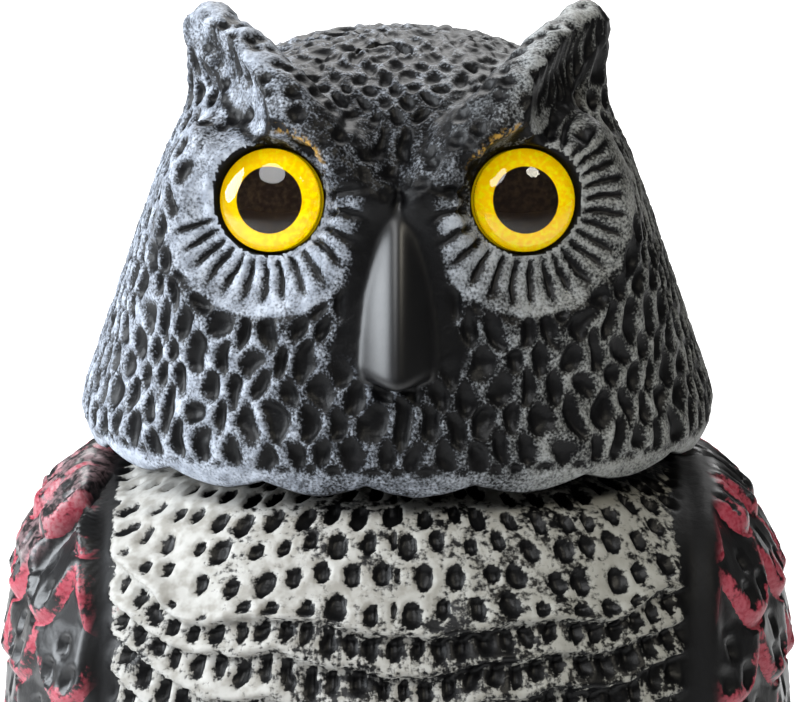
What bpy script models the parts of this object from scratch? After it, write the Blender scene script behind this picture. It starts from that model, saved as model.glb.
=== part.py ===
"""Owl decoy: a moulded plastic bird scarer about 0.4 m tall, with a head that turns on the body.

The owl faces -Y and stands on the plane z = 0, with the head's turning axis on the Z axis.
Two mouldings, the body and the head, are each a net of points dropped onto a smooth form that
a formula describes, and the two eyes are domed buttons set in sockets cut in the head.
All sizes are in metres.
"""

import math

import bpy
import numpy as np
from mathutils import Vector

# Driving sizes
RIM_Z = 0.2915
EYE_RADIUS = 0.0121

# Head: a flared bell with a flat face. Heights are above the rim.
RIM_HALF_WIDTH = 0.0800
RIM_FRONT_DEPTH = 0.0765
RIM_BACK_DEPTH = 0.0775
SIDE_TAPER = 0.345
FRONT_TAPER = 0.235
BACK_TAPER = 0.30
LIP_HEIGHT = 0.010
LIP_TUCK = 0.0038
CROWN_HEIGHT = 0.0967
DOME_START = 0.055
DOME_FULLNESS = 3.6
RIM_SQUARENESS = 2.3
FACE_SQUARENESS = 3.8
BACK_SQUARENESS = 2.2
HEAD_MEAN_RADIUS = 0.055
SCALLOPS = 18
SCALLOP_DEPTH = 0.0026
SCALLOP_TURN = math.radians(4.1)
SCALLOP_DRIFT = math.radians(4)
FRONT_DIP = 0.002
LIP_ROUNDING = 0.0012
SKIRT_WALL = 0.0040
HEAD_RECESS = 0.0040

# Face: eye discs, brows, ear tufts and beak, on the +X side and mirrored. Heights are above the rim.
EYE_CENTRE = (0.0303, -0.0578, 0.0645)
EYE_TURN_OUT = math.radians(14)
EYE_TURN_UP = math.radians(11)
DISC_CENTRE = (0.0310, -0.0560, 0.0615)
DISC_TURN_OUT = math.radians(19)
DISC_TURN_UP = math.radians(6)
DISC_CUSHION = (0.0272, 0.0285, 0.0135)
DISC_CUSHION_SINK = 0.0050
DISC_DISH = (0.0235, 0.0200, 0.0080)
DISC_DISH_SHIFT = (0.0015, -0.0040, 0.0085)
SOCKET_RADIUS = 0.0129
SOCKET_DEPTH = 0.0060
SOCKET_HOLLOW = (0.0135, 0.0135, 0.0060)
SOCKET_HOLLOW_SHIFT = (-0.0035, 0.0010, 0.0010)
BROW = (
    ((0.0050, -0.0615, 0.0665), 0.0040),
    ((0.0170, -0.0585, 0.0735), 0.0075),
    ((0.0275, -0.0510, 0.0845), 0.0095),
    ((0.0365, -0.0365, 0.0935), 0.0087),
    ((0.0435, -0.0230, 0.0992), 0.0056),
)
EAR_ROOT = ((0.0375, -0.0160, 0.0790), 0.0138)
EAR_TIP = ((0.0448, -0.0200, 0.0994), 0.0056)
EAR_CUP = (
    ((0.0385, -0.0645, 0.0800), 0.0090),
    ((0.0420, -0.0530, 0.0880), 0.0098),
    ((0.0470, -0.0390, 0.0940), 0.0082),
    ((0.0512, -0.0305, 0.0993), 0.0056),
)
BROW_UNDERCUT = (0.0168, 0.0165, 0.0085)
BROW_UNDERCUT_FORWARD = 0.0075
EAR_BLEND = 0.008
BROW_BLEND = 0.006
DISC_BLEND = 0.004
DISH_BLEND = 0.003
CUP_BLEND = 0.0015
HOLLOW_BLEND = 0.0012
BEAK_BLEND = 0.0015
KEEL_BLEND = 0.004
EYE_GAP = 0.0003
EYE_RIM_HEIGHT = 0.0034
EYE_DOME_RISE = 0.0056
EYE_DOME_BENDS = (0, 22, 44, 66, 82)
BEAK = (
    ((0.0, -0.0600, 0.0630), 0.0030),
    ((0.0, -0.0650, 0.0530), 0.0052),
    ((0.0, -0.0685, 0.0400), 0.0075),
    ((0.0, -0.0690, 0.0315), 0.0092),
)
BEAK_KEEL = (
    ((0.0, -0.0630, 0.0630), 0.0014),
    ((0.0, -0.0725, 0.0520), 0.0020),
    ((0.0, -0.0780, 0.0360), 0.0028),
    ((0.0, -0.0765, 0.0255), 0.0030),
)

# Body: an upright oval form, as stations of height, half width, front depth and back depth
STATIONS = (
    (0.010, 0.050, 0.042, 0.048),
    (0.040, 0.059, 0.049, 0.058),
    (0.080, 0.0755, 0.066, 0.070),
    (0.130, 0.0870, 0.080, 0.078),
    (0.180, 0.0915, 0.0850, 0.0815),
    (0.230, 0.0930, 0.0845, 0.0820),
    (0.300, 0.0930, 0.0800, 0.0790),
)
SHOULDER_TOP = 0.2920
SHOULDER_START = 0.2200
SHOULDER_FULLNESS = 3.0
SHOULDER_POWER = 3.5
FRONT_FULLNESS = 3.0
BODY_SQUARENESS = 2.3
WING_THICKNESS = 0.0035
WING_EDGE = (
    (0.045, 0.060),
    (0.070, 0.030),
    (0.105, -0.012),
    (0.150, -0.044),
    (0.200, -0.0575),
    (0.290, -0.0575),
)
BACK_VALLEY = ((0.080, -0.004), (0.110, 0.004), (0.285, 0.046))
BACK_VALLEY_DEPTH = 0.0030
HIP = ((0.027, -0.034, 0.085), 0.026)
ANKLE = ((0.030, -0.040, 0.030), 0.016)
TAIL_TOP = (0.060, 0.120)
TAIL_TIP = (0.078, 0.018)
TAIL_HALF_WIDTH = 0.027
TAIL_HALF_THICKNESS = 0.010
TAIL_ROUNDING = 0.006
TAIL_FLARE = 0.006
LEG_BLEND = 0.012
TAIL_BLEND = 0.010

FOOT_HEIGHTS = (0.012, 0.024, 0.038)

# Feather rows: each row's lower lip stands proud of the row below it
ROW_PITCH = 0.018
FIRST_ROW = 0.055
LAST_ROW = 0.262
WING_STEP = 0.0026
BREAST_STEP = 0.0014
BREAST_DROOP = 0.005
STEP_LIP = 0.0014
SCALE_ZIGZAG = 0.0036
SHOULDER_RINGS = 4
SHOULDER_FAN_RADIUS = 0.070
SHOULDER_FAN_INSET = 0.014
SHOULDER_FAN_DROP = 0.026
SHOULDER_FAN_LIFT = 0.006

# Base and feet, moulded with the body
BASE_HALF_WIDTH = 0.071
BASE_HALF_DEPTH = 0.065
BASE_HEIGHT = 0.018
BASE_PROFILE = ((1.0, 0.0), (1.02, 0.003), (0.97, 0.015), (0.93, BASE_HEIGHT))
TOE_ANGLES = (-24, 0, 26)
TOE_ROOT = (0.030, -0.040)
TOE_LENGTHS = (0.026, 0.032, 0.027)
TOE_RADIUS = 0.0068
TOE_SINK = 0.0055
TOE_SIDES = 8
TOE_SECTIONS = (
    (-0.30, 0.0100, 0.90),
    (0.00, 0.0095, 1.00),
    (0.35, 0.0100, 1.00),
    (0.70, 0.0070, 0.95),
    (0.95, 0.0010, 0.80),
    (1.10, -0.0050, 0.30),
)

# Neck pivot: a post on the body with a lip that the head's socket snaps over
NECK_RADIUS = 0.0260
NECK_LIP_RADIUS = 0.0285
NECK_HEIGHT = 0.030
NECK_LIP_HEIGHT = 0.006
PIVOT_GAP = 0.0006
NECK_CHAMFER = 0.0025

# Mesh density
BODY_COLUMNS = 44
HEAD_COLUMNS = 180
HEAD_ROWS = 100
HEAD_FACES_KEPT = 0.073
FRONT_BIAS = 0.32
SIDE_BIAS = 0.12
ROUND_SIDES = 20
SIDES_SHARE = 0.5
FAN_SHARE = 0.2
FAN_RADIUS = 0.042
FAN_HEIGHT = 0.070
SEARCH_STEPS = 48
SEARCH_HALVINGS = 12


def smooth_step(value, low, high):
    t = np.clip((value - low) / (high - low), 0, 1)
    return t * t * (3 - 2 * t)


def smooth_union(a, b, blend):
    h = np.clip(0.5 + 0.5 * (b - a) / blend, 0, 1)
    return b + (a - b) * h - blend * h * (1 - h)


def smooth_cut(a, cutter, blend):
    return -smooth_union(-a, cutter, blend)


def tapered_rod(p, start, end):
    """Distance to a round rod between two stops, each a place and a radius."""
    (a, ra), (b, rb) = start, end
    a = np.array(a)
    run = np.array(b) - a
    t = np.clip((p - a) @ run / (run @ run), 0, 1)
    nearest = a + t[:, None] * run
    return np.linalg.norm(p - nearest, axis=1) - (ra + t * (rb - ra))


def rod_chain(p, stops):
    """Distance to rods joined end to end."""
    return np.minimum.reduce([tapered_rod(p, a, b) for a, b in zip(stops[:-1], stops[1:])])


def facing(turn_out, turn_up):
    """Outward, upward and normal directions of a plane on the +X side of the face."""
    normal = np.array(
        [
            math.sin(turn_out) * math.cos(turn_up),
            -math.cos(turn_out) * math.cos(turn_up),
            math.sin(turn_up),
        ]
    )
    out = np.array([math.cos(turn_out), math.sin(turn_out), 0])
    return np.array([out, np.cross(out, normal) * -1, normal])


def spheroid(q, centre, radii):
    """About the distance to an ellipsoid whose axes are the axes of q."""
    q = (q - np.array(centre)) / np.array(radii)
    return (np.linalg.norm(q, axis=1) - 1) * min(radii)


def around(x, y, width, depth, squareness):
    """1 on a superellipse of that half width and depth, less inside."""
    return ((x / width) ** squareness + (np.abs(y) / depth) ** squareness) ** (1 / squareness)


def bell(p):
    """The head without its features."""
    x, y, z = p.T
    tuck = LIP_TUCK * np.clip(1 - z / LIP_HEIGHT, 0, 1.3) ** 2
    width = RIM_HALF_WIDTH - SIDE_TAPER * z - tuck
    front = RIM_FRONT_DEPTH - FRONT_TAPER * z - tuck
    back = RIM_BACK_DEPTH - BACK_TAPER * z - tuck
    face = RIM_SQUARENESS + (FACE_SQUARENESS - RIM_SQUARENESS) * smooth_step(z, 0.015, 0.060)
    squareness = np.where(y < 0, face, BACK_SQUARENESS)
    flat = around(x, y, width, np.where(y < 0, front, back), squareness)
    up = np.clip((z - DOME_START) / (CROWN_HEIGHT - DOME_START), 0, None)
    return (np.sqrt(flat**2 + up**DOME_FULLNESS) - 1) * HEAD_MEAN_RADIUS


def eye_disc(form, p):
    """Adds the cushion of the facial disc round an eye and hollows its dish."""
    q = (p - np.array(DISC_CENTRE)) @ facing(DISC_TURN_OUT, DISC_TURN_UP).T
    form = smooth_union(form, spheroid(q, (0, 0, -DISC_CUSHION_SINK), DISC_CUSHION), DISC_BLEND)
    return smooth_cut(form, spheroid(q, DISC_DISH_SHIFT, DISC_DISH), DISH_BLEND)


def eye_hollow(form, p):
    """Undercuts the brow round the eye, and sinks the side of the socket nearer the beak."""
    q = (p - np.array(EYE_CENTRE)) @ facing(EYE_TURN_OUT, EYE_TURN_UP).T
    undercut = spheroid(q, (0, 0, BROW_UNDERCUT_FORWARD), BROW_UNDERCUT)
    form = smooth_cut(form, undercut, HOLLOW_BLEND)
    return smooth_cut(form, spheroid(q, SOCKET_HOLLOW_SHIFT, SOCKET_HOLLOW), HOLLOW_BLEND)


def head_form(p):
    """Below zero inside the head, in world places."""
    p = np.column_stack([np.abs(p[:, 0]), p[:, 1], p[:, 2] - RIM_Z])
    form = bell(p)
    form = smooth_union(form, tapered_rod(p, EAR_ROOT, EAR_TIP), EAR_BLEND)
    form = smooth_union(form, rod_chain(p, BROW), BROW_BLEND)
    form = eye_disc(form, p)
    form = smooth_cut(form, rod_chain(p, EAR_CUP), CUP_BLEND)
    form = eye_hollow(form, p)
    form = smooth_union(form, rod_chain(p, BEAK), BEAK_BLEND)
    return smooth_union(form, rod_chain(p, BEAK_KEEL), KEEL_BLEND)


def stations_at(z):
    """Half width, front depth and back depth of the body, smoothly through its stations."""
    table = np.array(STATIONS)
    slope = np.gradient(table[:, 1:], table[:, 0], axis=0)
    z = np.clip(z, table[0, 0], table[-1, 0])
    i = np.clip(np.searchsorted(table[:, 0], z) - 1, 0, len(table) - 2)
    step = (table[i + 1, 0] - table[i, 0])[:, None]
    t = (z - table[i, 0])[:, None] / step
    low, high = table[i, 1:], table[i + 1, 1:]
    rise = low * (2 * t**3 - 3 * t**2 + 1) + high * (3 * t**2 - 2 * t**3)
    lean = slope[i] * (t**3 - 2 * t**2 + t) + slope[i + 1] * (t**3 - t**2)
    return (rise + lean * step).T


def read_curve(curve, z):
    """Reads a curve given as pairs of height and value."""
    heights, values = np.array(curve).T
    return np.interp(z, heights, values)


def wing_share(p):
    """1 on the wings, 0 in front of their edge."""
    return smooth_step(p[:, 1] - read_curve(WING_EDGE, p[:, 2]), -0.001, 0.004)


def tail_form(p):
    """Distance to the tail: a flat blade that leans back, wider at its top."""
    x, y, z = p.T
    share = (z - TAIL_TIP[1]) / (TAIL_TOP[1] - TAIL_TIP[1])
    middle = TAIL_TIP[0] + (TAIL_TOP[0] - TAIL_TIP[0]) * share
    sides = np.array(
        [
            np.abs(x) - TAIL_HALF_WIDTH - TAIL_FLARE * share,
            np.abs(y - middle) - TAIL_HALF_THICKNESS,
            np.maximum(TAIL_TIP[1] - z, z - TAIL_TOP[1]),
        ]
    )
    inner = sides + TAIL_ROUNDING
    outside = np.linalg.norm(np.maximum(inner, 0), axis=0)
    return outside + np.minimum(inner.max(axis=0), 0) - TAIL_ROUNDING


def body_form(p):
    """Below zero inside the body, without its base, feather rows and neck."""
    p = np.column_stack([np.abs(p[:, 0]), p[:, 1], p[:, 2]])
    x, y, z = p.T
    width, front, back = stations_at(z)
    flat = around(x, y, width, np.where(y < 0, front, back), BODY_SQUARENESS)
    up = np.clip((z - SHOULDER_START) / (SHOULDER_TOP - SHOULDER_START), 0, None)
    fullness = SHOULDER_FULLNESS + FRONT_FULLNESS * np.clip(-y / front, 0, 1) ** 2
    form = ((flat**fullness + up**SHOULDER_POWER) ** (1 / fullness) - 1) * width
    below_neck = 1 - smooth_step(z, SHOULDER_TOP - 0.012, SHOULDER_TOP - 0.003)
    form = form - WING_THICKNESS * wing_share(p) * below_neck
    valley = smooth_step(read_curve(BACK_VALLEY, z) - x, -0.002, 0.004) * (y > 0)
    form = form + BACK_VALLEY_DEPTH * valley * below_neck * smooth_step(z, 0.08, 0.12)
    form = smooth_union(form, tapered_rod(p, HIP, ANKLE), LEG_BLEND)
    return smooth_union(form, tail_form(p), TAIL_BLEND)


def drop(origins, directions, form, reach):
    """Moves each origin out along its direction to the form's outermost surface."""
    steps = np.linspace(reach, 0, SEARCH_STEPS)
    stride = steps[0] - steps[1]
    near = np.zeros(len(origins))
    waiting = np.arange(len(origins))
    for distance in steps[1:]:
        inside = form(origins[waiting] + distance * directions[waiting]) < 0
        near[waiting[inside]] = distance
        waiting = waiting[~inside]
        if not len(waiting):
            break
    for _ in range(SEARCH_HALVINGS):
        stride /= 2
        inside = form(origins + (near + stride)[:, None] * directions) < 0
        near += stride * inside
    return origins + near[:, None] * directions


def column_angles(count, front_bias=0, side_bias=0):
    """Angles round the axis from the front, closer together at the front or at the sides."""
    even = 2 * math.pi * np.arange(count) / count
    return even - front_bias * np.sin(even) + side_bias * np.sin(2 * even)


def outward(angles):
    return np.column_stack([np.sin(angles), -np.cos(angles), np.zeros_like(angles)])


def level_ring(angles, radius, height):
    points = outward(angles) * np.reshape(radius, (-1, 1))
    points[:, 2] = height
    return points


def rim_height(angles):
    """Height of the head's scalloped lower edge, above the rim's mean level."""
    place = angles - SCALLOP_TURN - SCALLOP_DRIFT * np.sin(angles) ** 2
    scallop = 0.5 - np.abs(np.cos(SCALLOPS / 2 * place))
    return SCALLOP_DEPTH * scallop - FRONT_DIP * np.clip(np.cos(angles), 0, 1) ** 2


def head_points(angles, shares):
    """Points on the head's outside: a share is 0 at the rim and 1 at the crown.

    They are looked for level up the sides, then along a fan that turns upwards, then straight up.
    """
    side = np.clip(shares / SIDES_SHARE, 0, 1)
    lift = np.clip((shares - SIDES_SHARE) / FAN_SHARE, 0, 1) * math.pi / 2
    top_share = 1 - SIDES_SHARE - FAN_SHARE
    inward = np.clip((shares - SIDES_SHARE - FAN_SHARE) / top_share, 0, 1)
    height = rim_height(angles) * (1 - side) ** 2 + FAN_HEIGHT * side
    origins = outward(angles) * (FAN_RADIUS * (shares > SIDES_SHARE) * (1 - inward))[:, None]
    origins[:, 2] = RIM_Z + height
    directions = outward(angles) * np.cos(lift)[:, None]
    directions[:, 2] = np.sin(lift)
    return drop(origins, directions, head_form, 0.110)


def net(points_at, angles, shares):
    """Rows of points, one for each share, with a column for each angle."""
    grid = np.meshgrid(angles, shares)
    points = points_at(grid[0].ravel(), grid[1].ravel())
    return points.reshape(len(shares), len(angles), 3)


def even_shares(points_at, count):
    """Shares from 0 to 1 that put the rows of a net about evenly apart."""
    angles = column_angles(24)
    shares = np.linspace(0, 1, count)
    for _ in range(2):
        gaps = np.linalg.norm(np.diff(net(points_at, angles, shares), axis=0), axis=2)
        travel = np.concatenate([[0], np.cumsum(np.quantile(gaps, 0.8, axis=1) + 0.0002)])
        shares = np.interp(np.linspace(0, travel[-1], count), travel, shares)
    return shares


def mesh_of_rings(name, rings, low_pole, high_pole):
    """A closed mesh from rings of points, listed from the low pole to the high pole."""
    count = len(rings[0])
    points = np.concatenate([[low_pole], *rings, [high_pole]])
    last = len(points) - 1
    top = last - count
    faces = []
    for j in range(count):
        k = (j + 1) % count
        faces.append((0, 1 + k, 1 + j))
        for a in range(1, top, count):
            faces.append((a + j, a + k, a + count + k, a + count + j))
        faces.append((top + j, top + k, last))
    mesh = bpy.data.meshes.new(name)
    mesh.from_pydata(points.tolist(), [], faces)
    return mesh


def new_object(name, mesh):
    obj = bpy.data.objects.new(name, mesh)
    bpy.context.scene.collection.objects.link(obj)
    return obj


def plastic(name, colour, roughness):
    found = bpy.data.materials.new(name)
    found.use_nodes = True
    shader = found.node_tree.nodes["Principled BSDF"]
    shader.inputs["Base Color"].default_value = (*colour, 1)
    shader.inputs["Roughness"].default_value = roughness
    shader.inputs["Metallic"].default_value = 0
    return found


def finish_as(obj, material, degrees):
    obj.data.materials.append(material)
    obj.data.shade_smooth()
    obj.data.set_sharp_from_angle(angle=math.radians(degrees))


def turned(name, profile, sides=ROUND_SIDES):
    """A closed solid turned about Z from a profile of radius and height, from bottom to top."""
    angles = column_angles(sides)
    rings = [level_ring(angles, radius, height) for radius, height in profile]
    low, high = profile[0][1], profile[-1][1]
    return new_object(name, mesh_of_rings(name, rings, (0, 0, low), (0, 0, high)))


def combine(obj, other, operation):
    """Joins or cuts obj with another object, which is then only a guide."""
    modifier = obj.modifiers.new(other.name, "BOOLEAN")
    modifier.operation = operation
    modifier.object = other
    modifier.use_self = True
    other.hide_render = True
    other.display_type = "WIRE"


def set_in_face(obj, side):
    """Moves obj's origin to the eye's centre and turns its +Z along the eye's normal."""
    x, y, z = EYE_CENTRE
    out, _, normal = facing(EYE_TURN_OUT, EYE_TURN_UP)
    direction = Vector((side * normal[0], normal[1], normal[2]))
    obj.rotation_mode = "QUATERNION"
    obj.rotation_quaternion = direction.to_track_quat("Z", "Y")
    obj.location = (side * x, y, RIM_Z + z)


def build_head(material):
    angles = column_angles(HEAD_COLUMNS, FRONT_BIAS)
    shares = even_shares(head_points, HEAD_ROWS)
    outside = net(head_points, angles, shares[:-1])
    crown = head_points(angles[:1], shares[-1:])[0]
    rim = outside[0]
    radius = np.hypot(rim[:, 0], rim[:, 1])
    recess = RIM_Z + HEAD_RECESS
    inside = radius - SKIRT_WALL
    underside = [
        level_ring(angles, HEAD_MEAN_RADIUS, recess),
        level_ring(angles, inside - LIP_ROUNDING, recess),
        level_ring(angles, inside, rim[:, 2] + LIP_ROUNDING / 2),
        level_ring(angles, radius - LIP_ROUNDING, rim[:, 2] - LIP_ROUNDING / 2),
    ]
    head = new_object("head", mesh_of_rings("head", [*underside, *outside], (0, 0, recess), crown))
    fewer = head.modifiers.new("fewer faces", "DECIMATE")
    fewer.ratio = HEAD_FACES_KEPT
    combine(head, neck_socket(), "DIFFERENCE")
    for side, name in ((-1, "left_socket"), (1, "right_socket")):
        depth = -SOCKET_DEPTH
        socket = turned(name, ((SOCKET_RADIUS, depth), (SOCKET_RADIUS, 0.020)))
        set_in_face(socket, side)
        combine(head, socket, "DIFFERENCE")
    finish_as(head, material, 40)


def neck_socket():
    """The cutter for the head's socket: a bore, and above it the room for the post's lip."""
    top = SHOULDER_TOP + NECK_HEIGHT
    under_lip = top - NECK_LIP_HEIGHT - PIVOT_GAP
    profile = (
        (NECK_RADIUS + PIVOT_GAP, RIM_Z - 0.010),
        (NECK_RADIUS + PIVOT_GAP, under_lip),
        (NECK_LIP_RADIUS + PIVOT_GAP, under_lip),
        (NECK_LIP_RADIUS + PIVOT_GAP, top - NECK_CHAMFER + PIVOT_GAP),
        (NECK_LIP_RADIUS - NECK_CHAMFER + PIVOT_GAP, top + PIVOT_GAP),
    )
    return turned("neck_socket", profile, 2 * ROUND_SIDES)


def build_eye(name, side, material):
    """A domed button: a short flat-backed cylinder with a lens on it."""
    seat = -SOCKET_DEPTH + EYE_GAP
    edge = seat + EYE_RIM_HEIGHT
    bends = [math.radians(a) for a in EYE_DOME_BENDS]
    dome = [(EYE_RADIUS * math.cos(a), edge + EYE_DOME_RISE * math.sin(a)) for a in bends]
    eye = turned(name, [(EYE_RADIUS, seat), *dome])
    set_in_face(eye, side)
    finish_as(eye, material, 50)


def at_height(angles, height):
    origins = np.zeros((len(angles), 3))
    origins[:, 2] = height
    return origins


def body_ring(angles, height):
    return drop(at_height(angles, height), outward(angles), body_form, 0.140)


def feather_rings(angles):
    """The rings of the feather rows, each row's lower edge standing proud of the row below it.

    A row of wing feathers ends in a zigzag of scale tips, and spans two bands of the breast.
    """
    odd = np.arange(len(angles)) % 2
    rings = []
    for row, level in enumerate(np.arange(FIRST_ROW, LAST_ROW, ROW_PITCH)):
        zigzag = np.where((odd + row) % 2, SCALE_ZIGZAG, -SCALE_ZIGZAG)
        for rise, wing_proud in ((0, 1), (ROW_PITCH / 2, 0.5)):
            wing = wing_share(body_ring(angles, level + rise))
            droop = BREAST_DROOP * np.cos(angles) ** 2 * (1 - wing)
            edge = level + rise + zigzag * wing * wing_proud - droop
            wing_low = WING_STEP * (1 - wing_proud)
            wing_high = WING_STEP * wing_proud
            rings.append(body_ring(angles, edge) + outward(angles) * (wing_low * wing)[:, None])
            proud = BREAST_STEP + (wing_high - BREAST_STEP) * wing
            rings.append(body_ring(angles, edge + STEP_LIP) + outward(angles) * proud[:, None])
    return rings


def shoulder_rings(angles):
    """Rings over the shoulder, found along a fan that turns from level to straight up."""
    rings = []
    for share in np.linspace(0.10, 1, SHOULDER_RINGS):
        lift = share * math.pi / 2
        origins = outward(angles) * (SHOULDER_FAN_RADIUS - SHOULDER_FAN_INSET * share)
        origins[:, 2] = SHOULDER_TOP - SHOULDER_FAN_DROP + SHOULDER_FAN_LIFT * share
        directions = outward(angles) * math.cos(lift)
        directions[:, 2] = math.sin(lift)
        rings.append(drop(origins, directions, body_form, 0.060))
    return rings


def build_body(material):
    angles = column_angles(BODY_COLUMNS, side_bias=SIDE_BIAS)
    foot = [body_ring(angles, z) for z in FOOT_HEIGHTS]
    top = SHOULDER_TOP + NECK_HEIGHT
    neck_profile = (
        (NECK_RADIUS, SHOULDER_TOP),
        (NECK_RADIUS, top - NECK_LIP_HEIGHT),
        (NECK_LIP_RADIUS, top - NECK_LIP_HEIGHT),
        (NECK_LIP_RADIUS, top - NECK_CHAMFER),
        (NECK_LIP_RADIUS - NECK_CHAMFER, top),
    )
    neck = [level_ring(angles, radius, height) for radius, height in neck_profile]
    rings = foot + feather_rings(angles) + shoulder_rings(angles) + neck
    body = new_object("body", mesh_of_rings("body", rings, (0, 0, FOOT_HEIGHTS[0]), (0, 0, top)))
    combine(body, base_block(), "UNION")
    for side in (-1, 1):
        for i, degrees in enumerate(TOE_ANGLES):
            combine(body, toe(side, i, degrees), "UNION")
    finish_as(body, material, 40)


def base_block():
    """The low base: a share of its half width at each height."""
    base = turned("base", BASE_PROFILE, BODY_COLUMNS)
    for vertex in base.data.vertices:
        vertex.co.x *= BASE_HALF_WIDTH
        vertex.co.y *= BASE_HALF_DEPTH
    return base


def toe(side, index, degrees):
    """One toe with its claw, lying on the base and curling over its front edge.

    A section is a share of the toe's length, a height and a share of its radius.
    """
    heading = math.radians(degrees) * side
    length = TOE_LENGTHS[index]
    turn = -column_angles(TOE_SIDES)
    rings = []
    for share, lift, thickness in TOE_SECTIONS:
        radius = TOE_RADIUS * thickness
        across = np.sin(turn) * radius
        x = side * TOE_ROOT[0] + math.sin(heading) * share * length
        y = TOE_ROOT[1] - math.cos(heading) * share * length
        z = BASE_HEIGHT + lift - TOE_SINK + np.cos(turn) * radius
        x = x + math.cos(heading) * across
        y = y + math.sin(heading) * across
        rings.append(np.column_stack([x, y, z]))
    low, high = rings[0].mean(0), rings[-1].mean(0)
    return new_object(f"toe_{side}_{index}", mesh_of_rings("toe", rings, low, high))


def main():
    for obj in list(bpy.data.objects):
        bpy.data.objects.remove(obj)
    build_body(plastic("body plastic", (0.12, 0.12, 0.12), 0.5))
    build_head(plastic("head plastic", (0.16, 0.17, 0.18), 0.5))
    eye_plastic = plastic("eye plastic", (0.85, 0.62, 0.03), 0.08)
    build_eye("left_eye", -1, eye_plastic)
    build_eye("right_eye", 1, eye_plastic)


if __name__ == "__main__":
    main()
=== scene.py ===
"""Owl decoy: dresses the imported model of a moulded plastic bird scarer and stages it.

The head and the body are each a fine net of points dropped onto the same smooth form as the
model's solids. Geometry nodes press the pits, ribs, ruffles and feathers into them and keep how
high each point stands, and the materials read that to lay silver, cream and red paint on what
is raised. The eyes are clear domes over a painted iris. All sizes are in metres.
"""

import math

import bpy
import numpy as np
from mathutils import Matrix, Vector


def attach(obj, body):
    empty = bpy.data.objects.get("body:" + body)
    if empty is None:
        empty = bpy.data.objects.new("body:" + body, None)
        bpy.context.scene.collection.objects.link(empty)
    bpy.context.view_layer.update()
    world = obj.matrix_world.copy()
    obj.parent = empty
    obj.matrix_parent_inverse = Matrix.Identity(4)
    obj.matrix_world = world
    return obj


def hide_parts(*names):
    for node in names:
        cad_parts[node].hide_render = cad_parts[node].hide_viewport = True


bl_info = {
    "name": "Owl Decoy",
    "version": (1, 0, 0),
    "blender": (4, 5, 0),
    "location": "3D View > Sidebar > Owl Decoy",
    "description": "Dresses and stages a moulded plastic owl decoy whose head turns",
    "category": "Object",
}

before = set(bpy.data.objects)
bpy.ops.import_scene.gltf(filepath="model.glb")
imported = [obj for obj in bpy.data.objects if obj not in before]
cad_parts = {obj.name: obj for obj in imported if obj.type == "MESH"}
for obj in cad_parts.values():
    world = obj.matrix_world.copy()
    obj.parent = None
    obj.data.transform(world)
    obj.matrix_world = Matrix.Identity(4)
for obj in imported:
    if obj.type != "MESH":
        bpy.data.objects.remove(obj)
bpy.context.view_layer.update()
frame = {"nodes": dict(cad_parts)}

# Driving sizes
RIM_Z = 0.2915
EYE_RADIUS = 0.0121

# Head: a flared bell with a flat face. Heights are above the rim.
RIM_HALF_WIDTH = 0.0800
RIM_FRONT_DEPTH = 0.0765
RIM_BACK_DEPTH = 0.0775
SIDE_TAPER = 0.345
FRONT_TAPER = 0.235
BACK_TAPER = 0.30
LIP_HEIGHT = 0.010
LIP_TUCK = 0.0038
CROWN_HEIGHT = 0.0967
DOME_START = 0.055
DOME_FULLNESS = 3.6
RIM_SQUARENESS = 2.3
FACE_SQUARENESS = 3.8
BACK_SQUARENESS = 2.2
HEAD_MEAN_RADIUS = 0.055
SCALLOPS = 18
SCALLOP_DEPTH = 0.0031
SCALLOP_TURN = math.radians(4.1)
SCALLOP_DRIFT = math.radians(4)
FRONT_DIP = 0.002
LIP_ROUNDING = 0.0012
SKIRT_WALL = 0.0040
HEAD_RECESS = 0.0040

# Face: eye discs, brows, ear tufts and beak, on the +X side and mirrored.
# Heights are above the rim.
EYE_CENTRE = (0.0303, -0.0578, 0.0645)
EYE_TURN_OUT = math.radians(14)
EYE_TURN_UP = math.radians(11)
DISC_CENTRE = (0.0310, -0.0560, 0.0615)
DISC_TURN_OUT = math.radians(19)
DISC_TURN_UP = math.radians(6)
DISC_CUSHION = (0.0272, 0.0285, 0.0135)
DISC_CUSHION_SINK = 0.0050
DISC_DISH = (0.0235, 0.0200, 0.0080)
DISC_DISH_SHIFT = (0.0015, -0.0040, 0.0085)
SOCKET_RADIUS = 0.0129
SOCKET_DEPTH = 0.0060
SOCKET_HOLLOW = (0.0135, 0.0135, 0.0060)
SOCKET_HOLLOW_SHIFT = (-0.0035, 0.0010, 0.0010)
BROW = (
    ((0.0050, -0.0615, 0.0665), 0.0040),
    ((0.0170, -0.0585, 0.0735), 0.0075),
    ((0.0275, -0.0510, 0.0845), 0.0095),
    ((0.0365, -0.0365, 0.0935), 0.0087),
    ((0.0435, -0.0230, 0.0992), 0.0056),
)
EAR_ROOT = ((0.0375, -0.0160, 0.0790), 0.0138)
EAR_TIP = ((0.0448, -0.0200, 0.0994), 0.0056)
EAR_CUP = (
    ((0.0385, -0.0645, 0.0800), 0.0090),
    ((0.0420, -0.0530, 0.0880), 0.0098),
    ((0.0470, -0.0390, 0.0940), 0.0082),
    ((0.0512, -0.0305, 0.0993), 0.0056),
)
BROW_UNDERCUT = (0.0168, 0.0165, 0.0085)
BROW_UNDERCUT_FORWARD = 0.0075
EAR_BLEND = 0.008
BROW_BLEND = 0.006
DISC_BLEND = 0.004
DISH_BLEND = 0.003
CUP_BLEND = 0.0015
HOLLOW_BLEND = 0.0012
BEAK_BLEND = 0.0015
EYE_GAP = 0.0003
EYE_RIM_HEIGHT = 0.0034
BEAK_RIDGE = (-0.0804, 0.27, 4.23)
BEAK_RIDGE_FROM = 0.0263
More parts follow.
